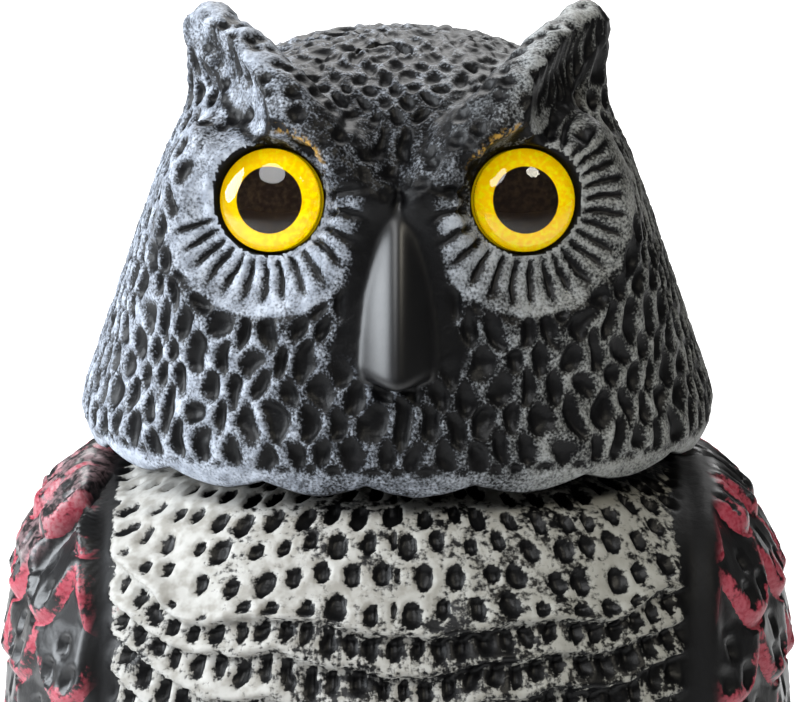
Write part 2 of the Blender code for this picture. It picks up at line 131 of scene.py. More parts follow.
BEAK_SLOPE = 0.62
BEAK_ROUNDNESS = 52
BEAK_RIDGE_ROUNDING = 0.0020
BEAK_TOP = 0.0665
BEAK_FOOT = 0.0222
BEAK_FOOT_RISE = 0.28
BEAK_FOOT_BLEND = 0.0035
BEAK_BACK = -0.050

# Body: an upright oval form, as stations of height, half width, front depth and back depth
STATIONS = (
    (0.010, 0.050, 0.042, 0.048),
    (0.040, 0.059, 0.049, 0.058),
    (0.080, 0.0755, 0.066, 0.070),
    (0.130, 0.0870, 0.080, 0.078),
    (0.180, 0.0915, 0.0850, 0.0815),
    (0.230, 0.0930, 0.0845, 0.0820),
    (0.300, 0.0930, 0.0800, 0.0790),
)
SHOULDER_TOP = 0.2920
SHOULDER_START = 0.2200
SHOULDER_FULLNESS = 3.0
SHOULDER_POWER = 3.5
FRONT_FULLNESS = 3.0
BODY_SQUARENESS = 2.3
WING_THICKNESS = 0.0035
WING_EDGE = (
    (0.045, 0.060),
    (0.070, 0.030),
    (0.105, -0.012),
    (0.150, -0.044),
    (0.200, -0.0575),
    (0.290, -0.0575),
)
BREAST_HALF_WIDTH = 0.0700
SLIT_REACH = (0.2600, 0.2880)
SLIT_INSET = 0.0058
BACK_VALLEY = ((0.080, -0.004), (0.110, 0.004), (0.285, 0.046))
BACK_VALLEY_DEPTH = 0.0030
HIP = ((0.027, -0.034, 0.085), 0.026)
ANKLE = ((0.030, -0.040, 0.030), 0.016)
TAIL_TOP = (0.060, 0.120)
TAIL_TIP = (0.078, 0.018)
TAIL_HALF_WIDTH = 0.027
TAIL_HALF_THICKNESS = 0.010
TAIL_ROUNDING = 0.006
TAIL_FLARE = 0.006
LEG_BLEND = 0.012
TAIL_BLEND = 0.010

FOOT_HEIGHTS = (0.012, 0.024, 0.038)

# Feather rows of the wings; the breast's ruffles are half as far apart
ROW_PITCH = 0.018
FIRST_ROW = 0.055
LAST_ROW = 0.262
BREAST_DROOP = 0.005
SHOULDER_FAN_RADIUS = 0.070
SHOULDER_FAN_INSET = 0.014
SHOULDER_FAN_DROP = 0.026
SHOULDER_FAN_LIFT = 0.006

# Base and feet, moulded with the body
BASE_HALF_WIDTH = 0.071
BASE_HALF_DEPTH = 0.065
BASE_HEIGHT = 0.018
BASE_PROFILE = ((1.0, 0.0), (1.02, 0.003), (0.97, 0.015), (0.93, BASE_HEIGHT))
TOE_ANGLES = (-24, 0, 26)
TOE_ROOT = (0.030, -0.040)
TOE_LENGTHS = (0.026, 0.032, 0.027)
TOE_RADIUS = 0.0068
TOE_SINK = 0.0055
TOE_SECTIONS = (
    (-0.30, 0.0100, 0.90),
    (0.00, 0.0095, 1.00),
    (0.35, 0.0100, 1.00),
    (0.70, 0.0070, 0.95),
    (0.95, 0.0010, 0.80),
    (1.10, -0.0050, 0.30),
)

# Neck pivot: a post on the body with a lip that the head's socket snaps over
NECK_RADIUS = 0.0260
NECK_LIP_RADIUS = 0.0285
NECK_HEIGHT = 0.030
NECK_LIP_HEIGHT = 0.006
PIVOT_GAP = 0.0006
NECK_CHAMFER = 0.0025

# Mesh density
COLUMNS = 420
HEAD_ROWS = 232
HEAD_FRONT_BIAS = 0.36
BODY_FRONT_BIAS = 0.26
LOW_ROW_GAP = 0.0019
HIGH_ROW_GAP = 0.00085
HIGH_ROWS_FROM = 0.216
SHOULDER_ROWS = 44
LENS_SIDES = 72
SIDES_SHARE = 0.5
FAN_SHARE = 0.2
FAN_RADIUS = 0.042
FAN_HEIGHT = 0.070
SEARCH_STEPS = 40
SEARCH_HALVINGS = 12
CAD_COLUMNS = 44
CAD_SIDE_BIAS = 0.12
SHARP_ANGLE = math.radians(50)

# Pattern: what is pressed into the moulding beside the sizes in the panel
CREST_PIT_WIDTH = 0.0060
EAR_STRANDS = 430
CROWN_SLIT_DEPTH = 0.0016
FOLD_HEIGHT = 0.0024
UNEVENNESS = 0.0006
LID_RISE = 0.0010
BODY_GIRTH = 2 * math.pi * 0.089
SLOT_HALF_WIDTH = 0.00165
BREAST_PIT = (0.0025, 0.0035)
STRIP_RISE = 0.0012
SHOULDER_SLIT_DEPTH = 0.0022
QUILL_PITCH = 0.0125
QUILL_DEPTH = 0.0016
GRAIN_HEIGHT = 0.00022
IRIS_SINK = 0.0006
IRIS_INSET = 0.0008
IRIS_THICKNESS = 0.0008

# Stage: the camera looks down on the head, and each lamp has a name, a place, a target, a size,
# a power and a colour
CAMERA_TILT = math.radians(12)
CAMERA_DISTANCE = 1.2
CAMERA_TARGET = (0.0006, 0, 0.3077)
SENSOR_WIDTH = 36
WIDTH_IN_VIEW = 0.1975
AIR_LIGHT = 0.06
LAMPS = (
    ("key_light", (-0.45, -0.95, 1.35), (0, 0, 0.3), 0.80, 14, (0.98, 0.99, 1.0)),
    ("side_light", (-1.28, -0.10, 0.80), (0, 0, 0.3), 1.00, 39, (0.90, 0.95, 1.0)),
    ("fill_light", (0.66, -0.78, 1.22), (0, 0, 0.3), 0.34, 5, (1.0, 0.94, 0.80)),
    ("backdrop_light", (0.0, 2.1, 1.7), (0.0, 2.1, 0.0), 2.6, 95, (1.0, 1.0, 1.0)),
)


def smooth_step(value, low, high):
    """0 at low and 1 at high, smoothly; low may be the larger."""
    t = np.clip((value - low) / (high - low), 0, 1)
    return t * t * (3 - 2 * t)


def smooth_union(a, b, blend):
    """Joins two forms with a fillet about as wide as blend."""
    h = np.clip(0.5 + 0.5 * (b - a) / blend, 0, 1)
    return b + (a - b) * h - blend * h * (1 - h)


def smooth_cut(a, cutter, blend):
    """Takes a cutter out of a form, with its edge rounded by about blend."""
    return -smooth_union(-a, cutter, blend)


def tapered_rod(p, start, end):
    """Distance to a round rod between two stops, each a place and a radius."""
    (a, ra), (b, rb) = start, end
    a = np.array(a)
    run = np.array(b) - a
    t = np.clip((p - a) @ run / (run @ run), 0, 1)
    nearest = a + t[:, None] * run
    return np.linalg.norm(p - nearest, axis=1) - (ra + t * (rb - ra))


def rod_chain(p, stops):
    """Distance to rods joined end to end."""
    return np.minimum.reduce([tapered_rod(p, a, b) for a, b in zip(stops[:-1], stops[1:])])


def facing(turn_out, turn_up):
    """Outward, upward and normal directions of a plane on the +X side of the face."""
    normal = np.array(
        [
            math.sin(turn_out) * math.cos(turn_up),
            -math.cos(turn_out) * math.cos(turn_up),
            math.sin(turn_up),
        ]
    )
    out = np.array([math.cos(turn_out), math.sin(turn_out), 0])
    return np.array([out, np.cross(out, normal) * -1, normal])


def spheroid(q, centre, radii):
    """About the distance to an ellipsoid whose axes are the axes of q."""
    q = (q - np.array(centre)) / np.array(radii)
    return (np.linalg.norm(q, axis=1) - 1) * min(radii)


def around(x, y, width, depth, squareness):
    """1 on a superellipse of that half width and depth, less inside."""
    return ((x / width) ** squareness + (np.abs(y) / depth) ** squareness) ** (1 / squareness)


def bell(p):
    """The head without its features."""
    x, y, z = p.T
    tuck = LIP_TUCK * np.clip(1 - z / LIP_HEIGHT, 0, 1.3) ** 2
    width = RIM_HALF_WIDTH - SIDE_TAPER * z - tuck
    front = RIM_FRONT_DEPTH - FRONT_TAPER * z - tuck
    back = RIM_BACK_DEPTH - BACK_TAPER * z - tuck
    face = RIM_SQUARENESS + (FACE_SQUARENESS - RIM_SQUARENESS) * smooth_step(z, 0.015, 0.060)
    squareness = np.where(y < 0, face, BACK_SQUARENESS)
    flat = around(x, y, width, np.where(y < 0, front, back), squareness)
    up = np.clip((z - DOME_START) / (CROWN_HEIGHT - DOME_START), 0, None)
    return (np.sqrt(flat**2 + up**DOME_FULLNESS) - 1) * HEAD_MEAN_RADIUS


def eye_disc(form, p):
    """Adds the cushion of the facial disc round an eye and hollows its dish."""
    q = (p - np.array(DISC_CENTRE)) @ facing(DISC_TURN_OUT, DISC_TURN_UP).T
    form = smooth_union(form, spheroid(q, (0, 0, -DISC_CUSHION_SINK), DISC_CUSHION), DISC_BLEND)
    return smooth_cut(form, spheroid(q, DISC_DISH_SHIFT, DISC_DISH), DISH_BLEND)


def eye_hollow(form, p):
    """Undercuts the brow round the eye, and sinks the side of the socket nearer the beak."""
    q = (p - np.array(EYE_CENTRE)) @ facing(EYE_TURN_OUT, EYE_TURN_UP).T
    undercut = spheroid(q, (0, 0, BROW_UNDERCUT_FORWARD), BROW_UNDERCUT)
    form = smooth_cut(form, undercut, HOLLOW_BLEND)
    return smooth_cut(form, spheroid(q, SOCKET_HOLLOW_SHIFT, SOCKET_HOLLOW), HOLLOW_BLEND)


def beak_form(p):
    """Below zero inside the beak: two slopes that meet in a ridge, over a pointed foot."""
    x, y, z = p.T
    start, slope, bend = BEAK_RIDGE
    up = z - BEAK_RIDGE_FROM
    ridge = start + slope * up + bend * up**2
    side = np.hypot(x, BEAK_RIDGE_ROUNDING)
    roof = ridge + BEAK_SLOPE * side + BEAK_ROUNDNESS * side**2 - y
    roof = roof / math.hypot(1, BEAK_SLOPE)
    foot = z - BEAK_FOOT - BEAK_FOOT_RISE * np.hypot(x, BEAK_RIDGE_ROUNDING)
    form = smooth_cut(roof, foot, BEAK_FOOT_BLEND)
    return np.maximum.reduce([form, y - BEAK_BACK, z - BEAK_TOP])


def head_form(p):
    """Below zero inside the head, in world places."""
    p = np.column_stack([np.abs(p[:, 0]), p[:, 1], p[:, 2] - RIM_Z])
    form = bell(p)
    form = smooth_union(form, tapered_rod(p, EAR_ROOT, EAR_TIP), EAR_BLEND)
    form = smooth_union(form, rod_chain(p, BROW), BROW_BLEND)
    form = eye_disc(form, p)
    form = smooth_cut(form, rod_chain(p, EAR_CUP), CUP_BLEND)
    form = eye_hollow(form, p)
    return smooth_union(form, beak_form(p), BEAK_BLEND)


def stations_at(z):
    """Half width, front depth and back depth of the body, smoothly through its stations."""
    table = np.array(STATIONS)
    slope = np.gradient(table[:, 1:], table[:, 0], axis=0)
    z = np.clip(z, table[0, 0], table[-1, 0])
    i = np.clip(np.searchsorted(table[:, 0], z) - 1, 0, len(table) - 2)
    step = (table[i + 1, 0] - table[i, 0])[:, None]
    t = (z - table[i, 0])[:, None] / step
    low, high = table[i, 1:], table[i + 1, 1:]
    rise = low * (2 * t**3 - 3 * t**2 + 1) + high * (3 * t**2 - 2 * t**3)
    lean = slope[i] * (t**3 - 2 * t**2 + t) + slope[i + 1] * (t**3 - t**2)
    return (rise + lean * step).T


def read_curve(curve, z):
    """Reads a curve given as pairs of height and value."""
    heights, values = np.array(curve).T
    return np.interp(z, heights, values)


def wing_share(p):
    """1 on the wings, 0 in front of their edge, which runs straight up beside the breast."""
    behind = smooth_step(p[:, 1] - read_curve(WING_EDGE, p[:, 2]), -0.001, 0.004)
    beside = smooth_step(p[:, 0], BREAST_HALF_WIDTH - 0.001, BREAST_HALF_WIDTH + 0.0060)
    high = smooth_step(p[:, 2], 0.190, 0.215) * (p[:, 1] < 0)
    return behind * (1 - high) + beside * high


def tail_form(p):
    """Distance to the tail: a flat blade that leans back, wider at its top."""
    x, y, z = p.T
    share = (z - TAIL_TIP[1]) / (TAIL_TOP[1] - TAIL_TIP[1])
    middle = TAIL_TIP[0] + (TAIL_TOP[0] - TAIL_TIP[0]) * share
    sides = np.array(
        [
            np.abs(x) - TAIL_HALF_WIDTH - TAIL_FLARE * share,
            np.abs(y - middle) - TAIL_HALF_THICKNESS,
            np.maximum(TAIL_TIP[1] - z, z - TAIL_TOP[1]),
        ]
    )
    inner = sides + TAIL_ROUNDING
    outside = np.linalg.norm(np.maximum(inner, 0), axis=0)
    return outside + np.minimum(inner.max(axis=0), 0) - TAIL_ROUNDING


def body_form(p):
    """Below zero inside the body, without its base, feather rows and neck."""
    p = np.column_stack([np.abs(p[:, 0]), p[:, 1], p[:, 2]])
    x, y, z = p.T
    width, front, back = stations_at(z)
    flat = around(x, y, width, np.where(y < 0, front, back), BODY_SQUARENESS)
    up = np.clip((z - SHOULDER_START) / (SHOULDER_TOP - SHOULDER_START), 0, None)
    fullness = SHOULDER_FULLNESS + FRONT_FULLNESS * np.clip(-y / front, 0, 1) ** 2
    form = ((flat**fullness + up**SHOULDER_POWER) ** (1 / fullness) - 1) * width
    below_neck = 1 - smooth_step(z, SHOULDER_TOP - 0.012, SHOULDER_TOP - 0.003)
    form = form - WING_THICKNESS * wing_share(p) * below_neck
    valley = smooth_step(read_curve(BACK_VALLEY, z) - x, -0.002, 0.004) * (y > 0)
    form = form + BACK_VALLEY_DEPTH * valley * below_neck * smooth_step(z, 0.08, 0.12)
    form = smooth_union(form, tapered_rod(p, HIP, ANKLE), LEG_BLEND)
    return smooth_union(form, tail_form(p), TAIL_BLEND)


def drop(origins, directions, form, reach):
    """Moves each origin out along its direction to the form's outermost surface."""
    steps = np.linspace(reach, 0, SEARCH_STEPS)
    stride = steps[0] - steps[1]
    near = np.zeros(len(origins))
    waiting = np.arange(len(origins))
    for distance in steps[1:]:
        inside = form(origins[waiting] + distance * directions[waiting]) < 0
        near[waiting[inside]] = distance
        waiting = waiting[~inside]
        if not len(waiting):
            break
    for _ in range(SEARCH_HALVINGS):
        stride /= 2
        inside = form(origins + (near + stride)[:, None] * directions) < 0
        near += stride * inside
    return origins + near[:, None] * directions


def column_angles(count, front_bias=0, side_bias=0):
    """Angles round the axis from the front, closer together at the front or at the sides."""
    even = 2 * math.pi * np.arange(count) / count
    return even - front_bias * np.sin(even) + side_bias * np.sin(2 * even)


def outward(angles):
    """Level directions at angles counted round from the front."""
    return np.column_stack([np.sin(angles), -np.cos(angles), np.zeros_like(angles)])


def level_ring(angles, radius, height):
    points = outward(angles) * np.reshape(radius, (-1, 1))
    points[:, 2] = height
    return points


def rim_height(angles):
    """Height of the head's scalloped lower edge, above the rim's mean level."""
    place = angles - SCALLOP_TURN - SCALLOP_DRIFT * np.sin(angles) ** 2
    scallop = 0.5 - np.abs(np.cos(SCALLOPS / 2 * place))
    return SCALLOP_DEPTH * scallop - FRONT_DIP * np.clip(np.cos(angles), 0, 1) ** 2


def head_points(angles, shares):
    """Points on the head's outside: a share is 0 at the rim and 1 at the crown.

    They are looked for level up the sides, then along a fan that turns upwards, then straight up.
    """
    side = np.clip(shares / SIDES_SHARE, 0, 1)
    lift = np.clip((shares - SIDES_SHARE) / FAN_SHARE, 0, 1) * math.pi / 2
    top_share = 1 - SIDES_SHARE - FAN_SHARE
    inward = np.clip((shares - SIDES_SHARE - FAN_SHARE) / top_share, 0, 1)
    height = rim_height(angles) * (1 - side) ** 2 + FAN_HEIGHT * side
    origins = outward(angles) * (FAN_RADIUS * (shares > SIDES_SHARE) * (1 - inward))[:, None]
    origins[:, 2] = RIM_Z + height
    directions = outward(angles) * np.cos(lift)[:, None]
    directions[:, 2] = np.sin(lift)
    return drop(origins, directions, head_form, 0.110)


def net(points_at, angles, shares):
    """Rows of points, one for each share, with a column for each angle."""
    grid = np.meshgrid(angles, shares)
    points = points_at(grid[0].ravel(), grid[1].ravel())
    return points.reshape(len(shares), len(angles), 3)


def even_shares(points_at, count):
    """Shares from 0 to 1 that put the rows of a net about evenly apart."""
    angles = column_angles(24)
    shares = np.linspace(0, 1, count)
    for _ in range(2):
        gaps = np.linalg.norm(np.diff(net(points_at, angles, shares), axis=0), axis=2)
        travel = np.concatenate([[0], np.cumsum(np.quantile(gaps, 0.8, axis=1) + 0.0002)])
        shares = np.interp(np.linspace(0, travel[-1], count), travel, shares)
    return shares


def at_height(angles, height):
    origins = np.zeros((len(angles), 3))
    origins[:, 2] = height
    return origins


def body_ring(angles, height):
    return drop(at_height(angles, height), outward(angles), body_form, 0.140)


def mesh_of_rings(name, rings, low_pole, high_pole):
    """A closed mesh from rings of points, listed from the low pole to the high pole."""
    count = len(rings[0])
    points = np.concatenate([[low_pole], *rings, [high_pole]])
    last = len(points) - 1
    top = last - count
    around_ring = np.arange(count)
    beside = (around_ring + 1) % count
    starts = np.arange(1, top, count)[:, None]
    quads = np.stack(
        [
            starts + around_ring,
            starts + beside,
            starts + count + beside,
            starts + count + around_ring,
        ],
        axis=-1,
    ).reshape(-1, 4)
    faces = quads.tolist()
    faces += [(0, 1 + k, 1 + j) for j, k in zip(around_ring.tolist(), beside.tolist())]
    faces += [(top + j, top + k, last) for j, k in zip(around_ring.tolist(), beside.tolist())]
    mesh = bpy.data.meshes.new(name)
    mesh.from_pydata(points.tolist(), [], faces)
    return mesh


def places_of(mesh):
    """A mesh's points, one row each."""
    places = np.empty(len(mesh.vertices) * 3)
    mesh.vertices.foreach_get("co", places)
    return places.reshape(-1, 3)


def keep(mesh, name, values):
    """Stores a number for each point of a mesh, for the node trees to read."""
    attribute = mesh.attributes.new(name, "FLOAT", "POINT")
    attribute.data.foreach_set("value", np.asarray(values, np.float32))


class Value:
    """A number that varies over a surface: a node's output, in a shader or a geometry tree."""

    def __init__(self, graph, socket):
        self.graph = graph
        self.socket = socket

    def maths(self, operation, *values):
        inputs = dict(enumerate(values))
        return self.graph.add("ShaderNodeMath", {"operation": operation}, inputs)

    def __add__(self, other):
        return self.maths("ADD", self, other)

    def __radd__(self, other):
        return self.maths("ADD", other, self)

    def __sub__(self, other):
        return self.maths("SUBTRACT", self, other)

    def __rsub__(self, other):
        return self.maths("SUBTRACT", other, self)

    def __mul__(self, other):
        return self.maths("MULTIPLY", self, other)

    def __rmul__(self, other):
        return self.maths("MULTIPLY", other, self)

    def __truediv__(self, other):
        return self.maths("DIVIDE", self, other)

    def __rtruediv__(self, other):
        return self.maths("DIVIDE", other, self)

    def __pow__(self, other):
        return self.maths("POWER", self, other)

    def __mod__(self, other):
        return self.maths("FLOORED_MODULO", self, other)

    def least(self, other):
        return self.maths("MINIMUM", self, other)

    def most(self, other):
        return self.maths("MAXIMUM", self, other)

    def floor(self):
        return self.maths("FLOOR", self)

    def root(self):
        return self.maths("SQRT", self)

    def above(self, other):
        return self.maths("GREATER_THAN", self, other)

    def off_whole(self):
        """The distance to the nearest whole number, from 0 to a half."""
        return self.maths("PINGPONG", self, 0.5)

    def eased(self, low, high):
        """0 at low and 1 at high, smoothly."""
        settings = {"interpolation_type": "SMOOTHSTEP"}
        values = {"Value": self, "From Min": low, "From Max": high}
        return self.graph.add("ShaderNodeMapRange", settings, values, "Result")


class Graph:
    """Adds nodes to a shader tree or a geometry tree."""

    def __init__(self, tree):
        self.tree = tree

    def add(self, kind, settings=None, values=None, output=0):
        """Adds a node with its settings and its sockets' values or links, and gives one output."""
        node = self.tree.nodes.new(kind)
        for name, setting in (settings or {}).items():
            setattr(node, name, setting)
        for key, value in (values or {}).items():
            if isinstance(value, Value):
                self.tree.links.new(value.socket, node.inputs[key])
            else:
                node.inputs[key].default_value = value
        return Value(self, node.outputs[output])

    def noise(self, scale, detail=2, place=None, roughness=0.5):
        values = {"Scale": scale, "Detail": detail, "Roughness": roughness}
        values["Vector"] = place or self.place
        return self.add("ShaderNodeTexNoise", {}, values)

    def part(self, vector, axis):
        """The x, y or z of a vector."""
        return self.add("ShaderNodeSeparateXYZ", {}, {0: vector}, axis)

    def mixed(self, share, a, b):
        """Colour b over colour a."""
        return self.add("ShaderNodeMix", {"data_type": "RGBA"}, {0: share, 6: a, 7: b}, 2)


class Relief(Graph):
    """A geometry tree that moves a surface along its normals, with sizes as its named inputs."""

    def __init__(self, name, sizes):
        tree = bpy.data.node_groups.new(name, "GeometryNodeTree")
        super().__init__(tree)
        tree.interface.new_socket("Geometry", in_out="INPUT", socket_type="NodeSocketGeometry")
        tree.interface.new_socket("Geometry", in_out="OUTPUT", socket_type="NodeSocketGeometry")
        self.sizes = dict(sizes)
        self.identifiers = {}
        for label in sizes:
            socket = tree.interface.new_socket(label, in_out="INPUT", socket_type="NodeSocketFloat")
            self.identifiers[label] = socket.identifier
        self.entry = tree.nodes.new("NodeGroupInput")
        self.place = self.add("GeometryNodeInputPosition")

    def size(self, label):
        return Value(self, self.entry.outputs[label])

    def stored(self, name):
        return self.add("GeometryNodeInputNamedAttribute", {"data_type": "FLOAT"}, {"Name": name})

    def close(self, lift, marks, material):
        """Stores the marks, moves the surface by lift, and sets its material."""
        geometry = Value(self, self.entry.outputs["Geometry"])
        for name, mark in marks.items():
            settings = {"data_type": "FLOAT", "domain": "POINT"}
            values = {"Geometry": geometry, "Name": name, "Value": mark}
            geometry = self.add("GeometryNodeStoreNamedAttribute", settings, values)
        normal = self.add("GeometryNodeInputNormal")
        values = {0: normal, "Scale": lift}
        offset = self.add("ShaderNodeVectorMath", {"operation": "SCALE"}, values)
        moved = self.add("GeometryNodeSetPosition", {}, {"Geometry": geometry, "Offset": offset})
        real = self.add("GeometryNodeRealizeInstances", {}, {"Geometry": moved})
        values = {"Geometry": real, "Material": material}
        dressed = self.add("GeometryNodeSetMaterial", {}, values)
        self.tree.links.new(dressed.socket, self.tree.nodes.new("NodeGroupOutput").inputs[0])

    def press_into(self, obj):
        modifier = obj.modifiers.new("relief", "NODES")
        modifier.node_group = self.tree
        for label, value in self.sizes.items():
            modifier[self.identifiers[label]] = value


class Finish(Graph):
    """A material's shader tree."""

    def __init__(self, name, **plain):
        self.material = bpy.data.materials.new(name)
        self.material.use_nodes = True
        super().__init__(self.material.node_tree)
        self.shader = self.tree.nodes["Principled BSDF"]
        self.place = self.add("ShaderNodeTexCoord", output="Object")
        for label, value in plain.items():
            self.shader.inputs[label.replace("_", " ")].default_value = value

    def stored(self, name):
        return self.add("ShaderNodeAttribute", {"attribute_name": name}, output="Fac")

    def feed(self, label, value):
        self.tree.links.new(value.socket, self.shader.inputs[label])

    def bump(self, height, distance, strength=1.0):
        values = {"Height": height, "Distance": distance, "Strength": strength}
        self.feed("Normal", self.add("ShaderNodeBump", {}, values))

    def stretched(self, scale):
        """Object places scaled unevenly, for streaks."""
        return self.add("ShaderNodeMapping", {}, {"Vector": self.place, "Scale": scale})


def baked(obj):
    """Applies an object's modifiers and leaves it a plain mesh."""
    depsgraph = bpy.context.evaluated_depsgraph_get()
    mesh = bpy.data.meshes.new_from_object(
        obj.evaluated_get(depsgraph), preserve_all_data_layers=True, depsgraph=depsgraph
    )
    obj.modifiers.clear()
    obj.data = mesh
    return obj


def new_object(name, mesh):
    obj = bpy.data.objects.new(name, mesh)
    bpy.context.scene.collection.objects.link(obj)
    return obj


def turned(name, profile, sides):
    """A closed solid turned about Z from a profile of radius and height, from bottom to top."""
    angles = column_angles(sides)
    rings = [level_ring(angles, radius, height) for radius, height in profile]
    low, high = profile[0][1], profile[-1][1]
    return mesh_of_rings(name, rings, (0, 0, low), (0, 0, high))


def set_in_face(mesh, side):
    """Moves a mesh made about Z to the eye's centre, with +Z along the eye's normal."""
    x, y, z = EYE_CENTRE
    _, _, normal = facing(EYE_TURN_OUT, EYE_TURN_UP)
    direction = Vector((side * normal[0], normal[1], normal[2]))
    turn = direction.to_track_quat("Z", "Y").to_matrix().to_4x4()
    turn.translation = (side * x, y, RIM_Z + z)
    mesh.transform(turn)


def cut(obj, mesh):
    """Cuts a closed mesh out of an object when it is baked, and gives the cutter."""
    cutter = new_object(mesh.name, mesh)
    modifier = obj.modifiers.new(mesh.name, "BOOLEAN")
    modifier.operation = "DIFFERENCE"
    modifier.solver = "MANIFOLD"
    modifier.object = cutter
    return cutter


def finish_piece(obj, body, slot, *nodes):
    obj.data.shade_smooth()
    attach(obj, body)
    if nodes:
        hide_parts(*nodes)


def mark_head(mesh):
    """Stores where each part of the pattern lies on the head."""
    places = places_of(mesh)
    p = np.column_stack([np.abs(places[:, 0]), places[:, 1], places[:, 2] - RIM_Z])
    x, y, z = p.T
    right = places[:, 0] > 0
    radius = np.hypot(x, y)
    outside = np.arange(len(p)) > 4 * COLUMNS
    keep(mesh, "turns", np.arctan2(places[:, 0], -y) / (2 * math.pi) % 1)
    keep(mesh, "radius", radius)
    keep(mesh, "climb", z + np.clip(0.052 - radius, 0, None))

    # The nearer eye: distance from its axis, and degrees round it from straight down
    e = (p - np.array(EYE_CENTRE)) @ facing(EYE_TURN_OUT, EYE_TURN_UP).T
    rho = np.hypot(e[:, 0], e[:, 1])
    phi = np.arctan2(e[:, 1], e[:, 0])
    front = smooth_step(y, -0.020, -0.032)
    rho = np.where(front > 0, rho, 0.1)
    keep(mesh, "eye_turns", phi / (2 * math.pi))
    swing = (np.degrees(phi) + 95 + 180) % 360 - 180
    outer_end = np.where(right, 168, 84)
    rib_arc = smooth_step(swing, outer_end, outer_end - 12) * smooth_step(swing, -100, -92)
    ribs = rib_arc * smooth_step(rho, 0.0134, 0.0150) * smooth_step(rho, 0.0262, 0.0208)
    below = smooth_step(swing, 95, 70) * smooth_step(swing, -95, -70)
    disc_end = np.where(right, 0.0262, 0.0185 + 0.0080 * below)
    clear_of_disc = smooth_step(rho, disc_end, disc_end + 0.0025)

    # Where beak, brow and ear leave no pits
    beak = smooth_step(beak_form(p), 0.0012, 0.0003)
    brow = smooth_step(rod_chain(p, BROW), 0.0030, 0.0008) * smooth_step(z, 0.060, 0.066)
    cup = smooth_step(np.abs(rod_chain(p, EAR_CUP)), 0.0014, 0.0006) * smooth_step(z, 0.073, 0.077)
    edge = np.interp(z, (0.029, 0.037, 0.056, 0.066), (0.0170, 0.0140, 0.0105, 0.0085))
    lores = smooth_step(x, edge + 0.0018, edge - 0.0018) * smooth_step(z, 0.022, 0.032)
    lores = lores * smooth_step(z, 0.072, 0.066) * front
    lid_arc = smooth_step(swing, 175, 150) * smooth_step(swing, -30, 10)
    crease = cup * smooth_step(np.abs(rod_chain(p, BROW)), 0.0018, 0.0006)
    crease = crease * smooth_step(z, 0.096, 0.092)
    brow = brow * (1 - cup)
    pits = outside * clear_of_disc * (1 - beak) * (1 - brow) * (1 - cup) * (1 - lores)

    # Pits run round the sides in rings, and over the crown and forehead in rows
    forehead = smooth_step(x, 0.030, 0.026) * smooth_step(z, 0.062, 0.066) * front
    crest = smooth_step(radius, 0.053, 0.049) * smooth_step(z, 0.073, 0.077)
    crest = np.maximum(forehead, crest)
    over_top = np.where(y < 0, z, 2 * CROWN_HEIGHT - z) + np.clip(y + 0.052, 0, None)
    keep(mesh, "over_top", over_top)
    keep(mesh, "crown_pits", pits * crest)
    pits = pits * smooth_step(z, 0.0012, 0.0035) * (1 - crest)
    temple = smooth_step(rho, 0.040, 0.030) * (1 - below)
    crown = smooth_step(z, 0.080, 0.092)
    between = smooth_step(x, 0.034, 0.020) * smooth_step(z, 0.062, 0.070)
    keep(mesh, "pits", pits)
    keep(mesh, "pit_size", 1 - 0.26 * temple - 0.12 * crown)
    keep(mesh, "ribs", ribs)
    ear = smooth_step(z, 0.082, 0.088)
    ear = ear * right
    keep(mesh, "brow", np.maximum(brow, cup * (1 - ear)))
    keep(mesh, "cup", cup * ear)
    lid = lid_arc * smooth_step(rho, 0.0105, 0.0120) * smooth_step(rho, 0.0166, 0.0148)
    keep(mesh, "lid", lid)
    keep(mesh, "gloss", beak * outside)

    # How much silver is misted on, with painted shade and a painted highlight worked in
    # The chin below the beak gets less silver: partly thinner paint, partly painted shade under the
    # beak
    chin = smooth_step(x, 0.044, 0.010) * smooth_step(z, 0.038, 0.026) * front
    # Painted shadow: a band under the lower rim of the disc's cushion gets much less silver
    under = smooth_step(rho, 0.0268, 0.0285) * smooth_step(rho, 0.0335, 0.0300) * below
    back = smooth_step(y, 0.010, 0.050)
    shade = np.maximum(0.66 * between, 0.18 * crown * (1 - brow))
    mist_and_shade = 1 - shade - 0.66 * chin - 0.35 * back
    # The last term gives the lowest few millimetres, the lip, more silver: partly paint, partly a
    # painted highlight
    mist_and_shade = mist_and_shade - 0.60 * under - 0.10 * temple + 0.15 * smooth_step(z, 0.006, 0.002)
    mist_and_shade = mist_and_shade * (1 - lores) * (1 - beak) * outside
    # Painted shade: less silver on the owl's left (+X), the side turned from the key light
    mist_and_shade = mist_and_shade - 0.24 * smooth_step(places[:, 0], -0.010, 0.060)
    mist_and_shade = mist_and_shade * (1 + 0.10 * brow) * (1 - (0.10 + 0.5 * ear) * cup) + 0.25 * lid - 0.8 * crease
    keep(mesh, "mist_and_shade", mist_and_shade)
    keep(mesh, "eye_zone", smooth_step(rho, 0.0215, 0.0195) * front)
    chips = smooth_step(swing, -175, -162) * smooth_step(swing, -108, -130)
    keep(mesh, "chips", chips * smooth_step(rho, 0.0160, 0.0166) * smooth_step(rho, 0.0180, 0.0172))

    # A curved slit and a nick in the crown
    bend = (places[:, 0] + 0.0032) / 0.0068
    slit = smooth_step(np.abs(y + 0.0172 + 0.0053 * bend**2), 0.0021, 0.0010) * (np.abs(bend) < 1)
    nick = smooth_step(np.hypot(places[:, 0] + 0.0184, (y + 0.0262) * 0.6), 0.0021, 0.0012)
    keep(mesh, "slit", np.maximum(slit, nick) * crown)


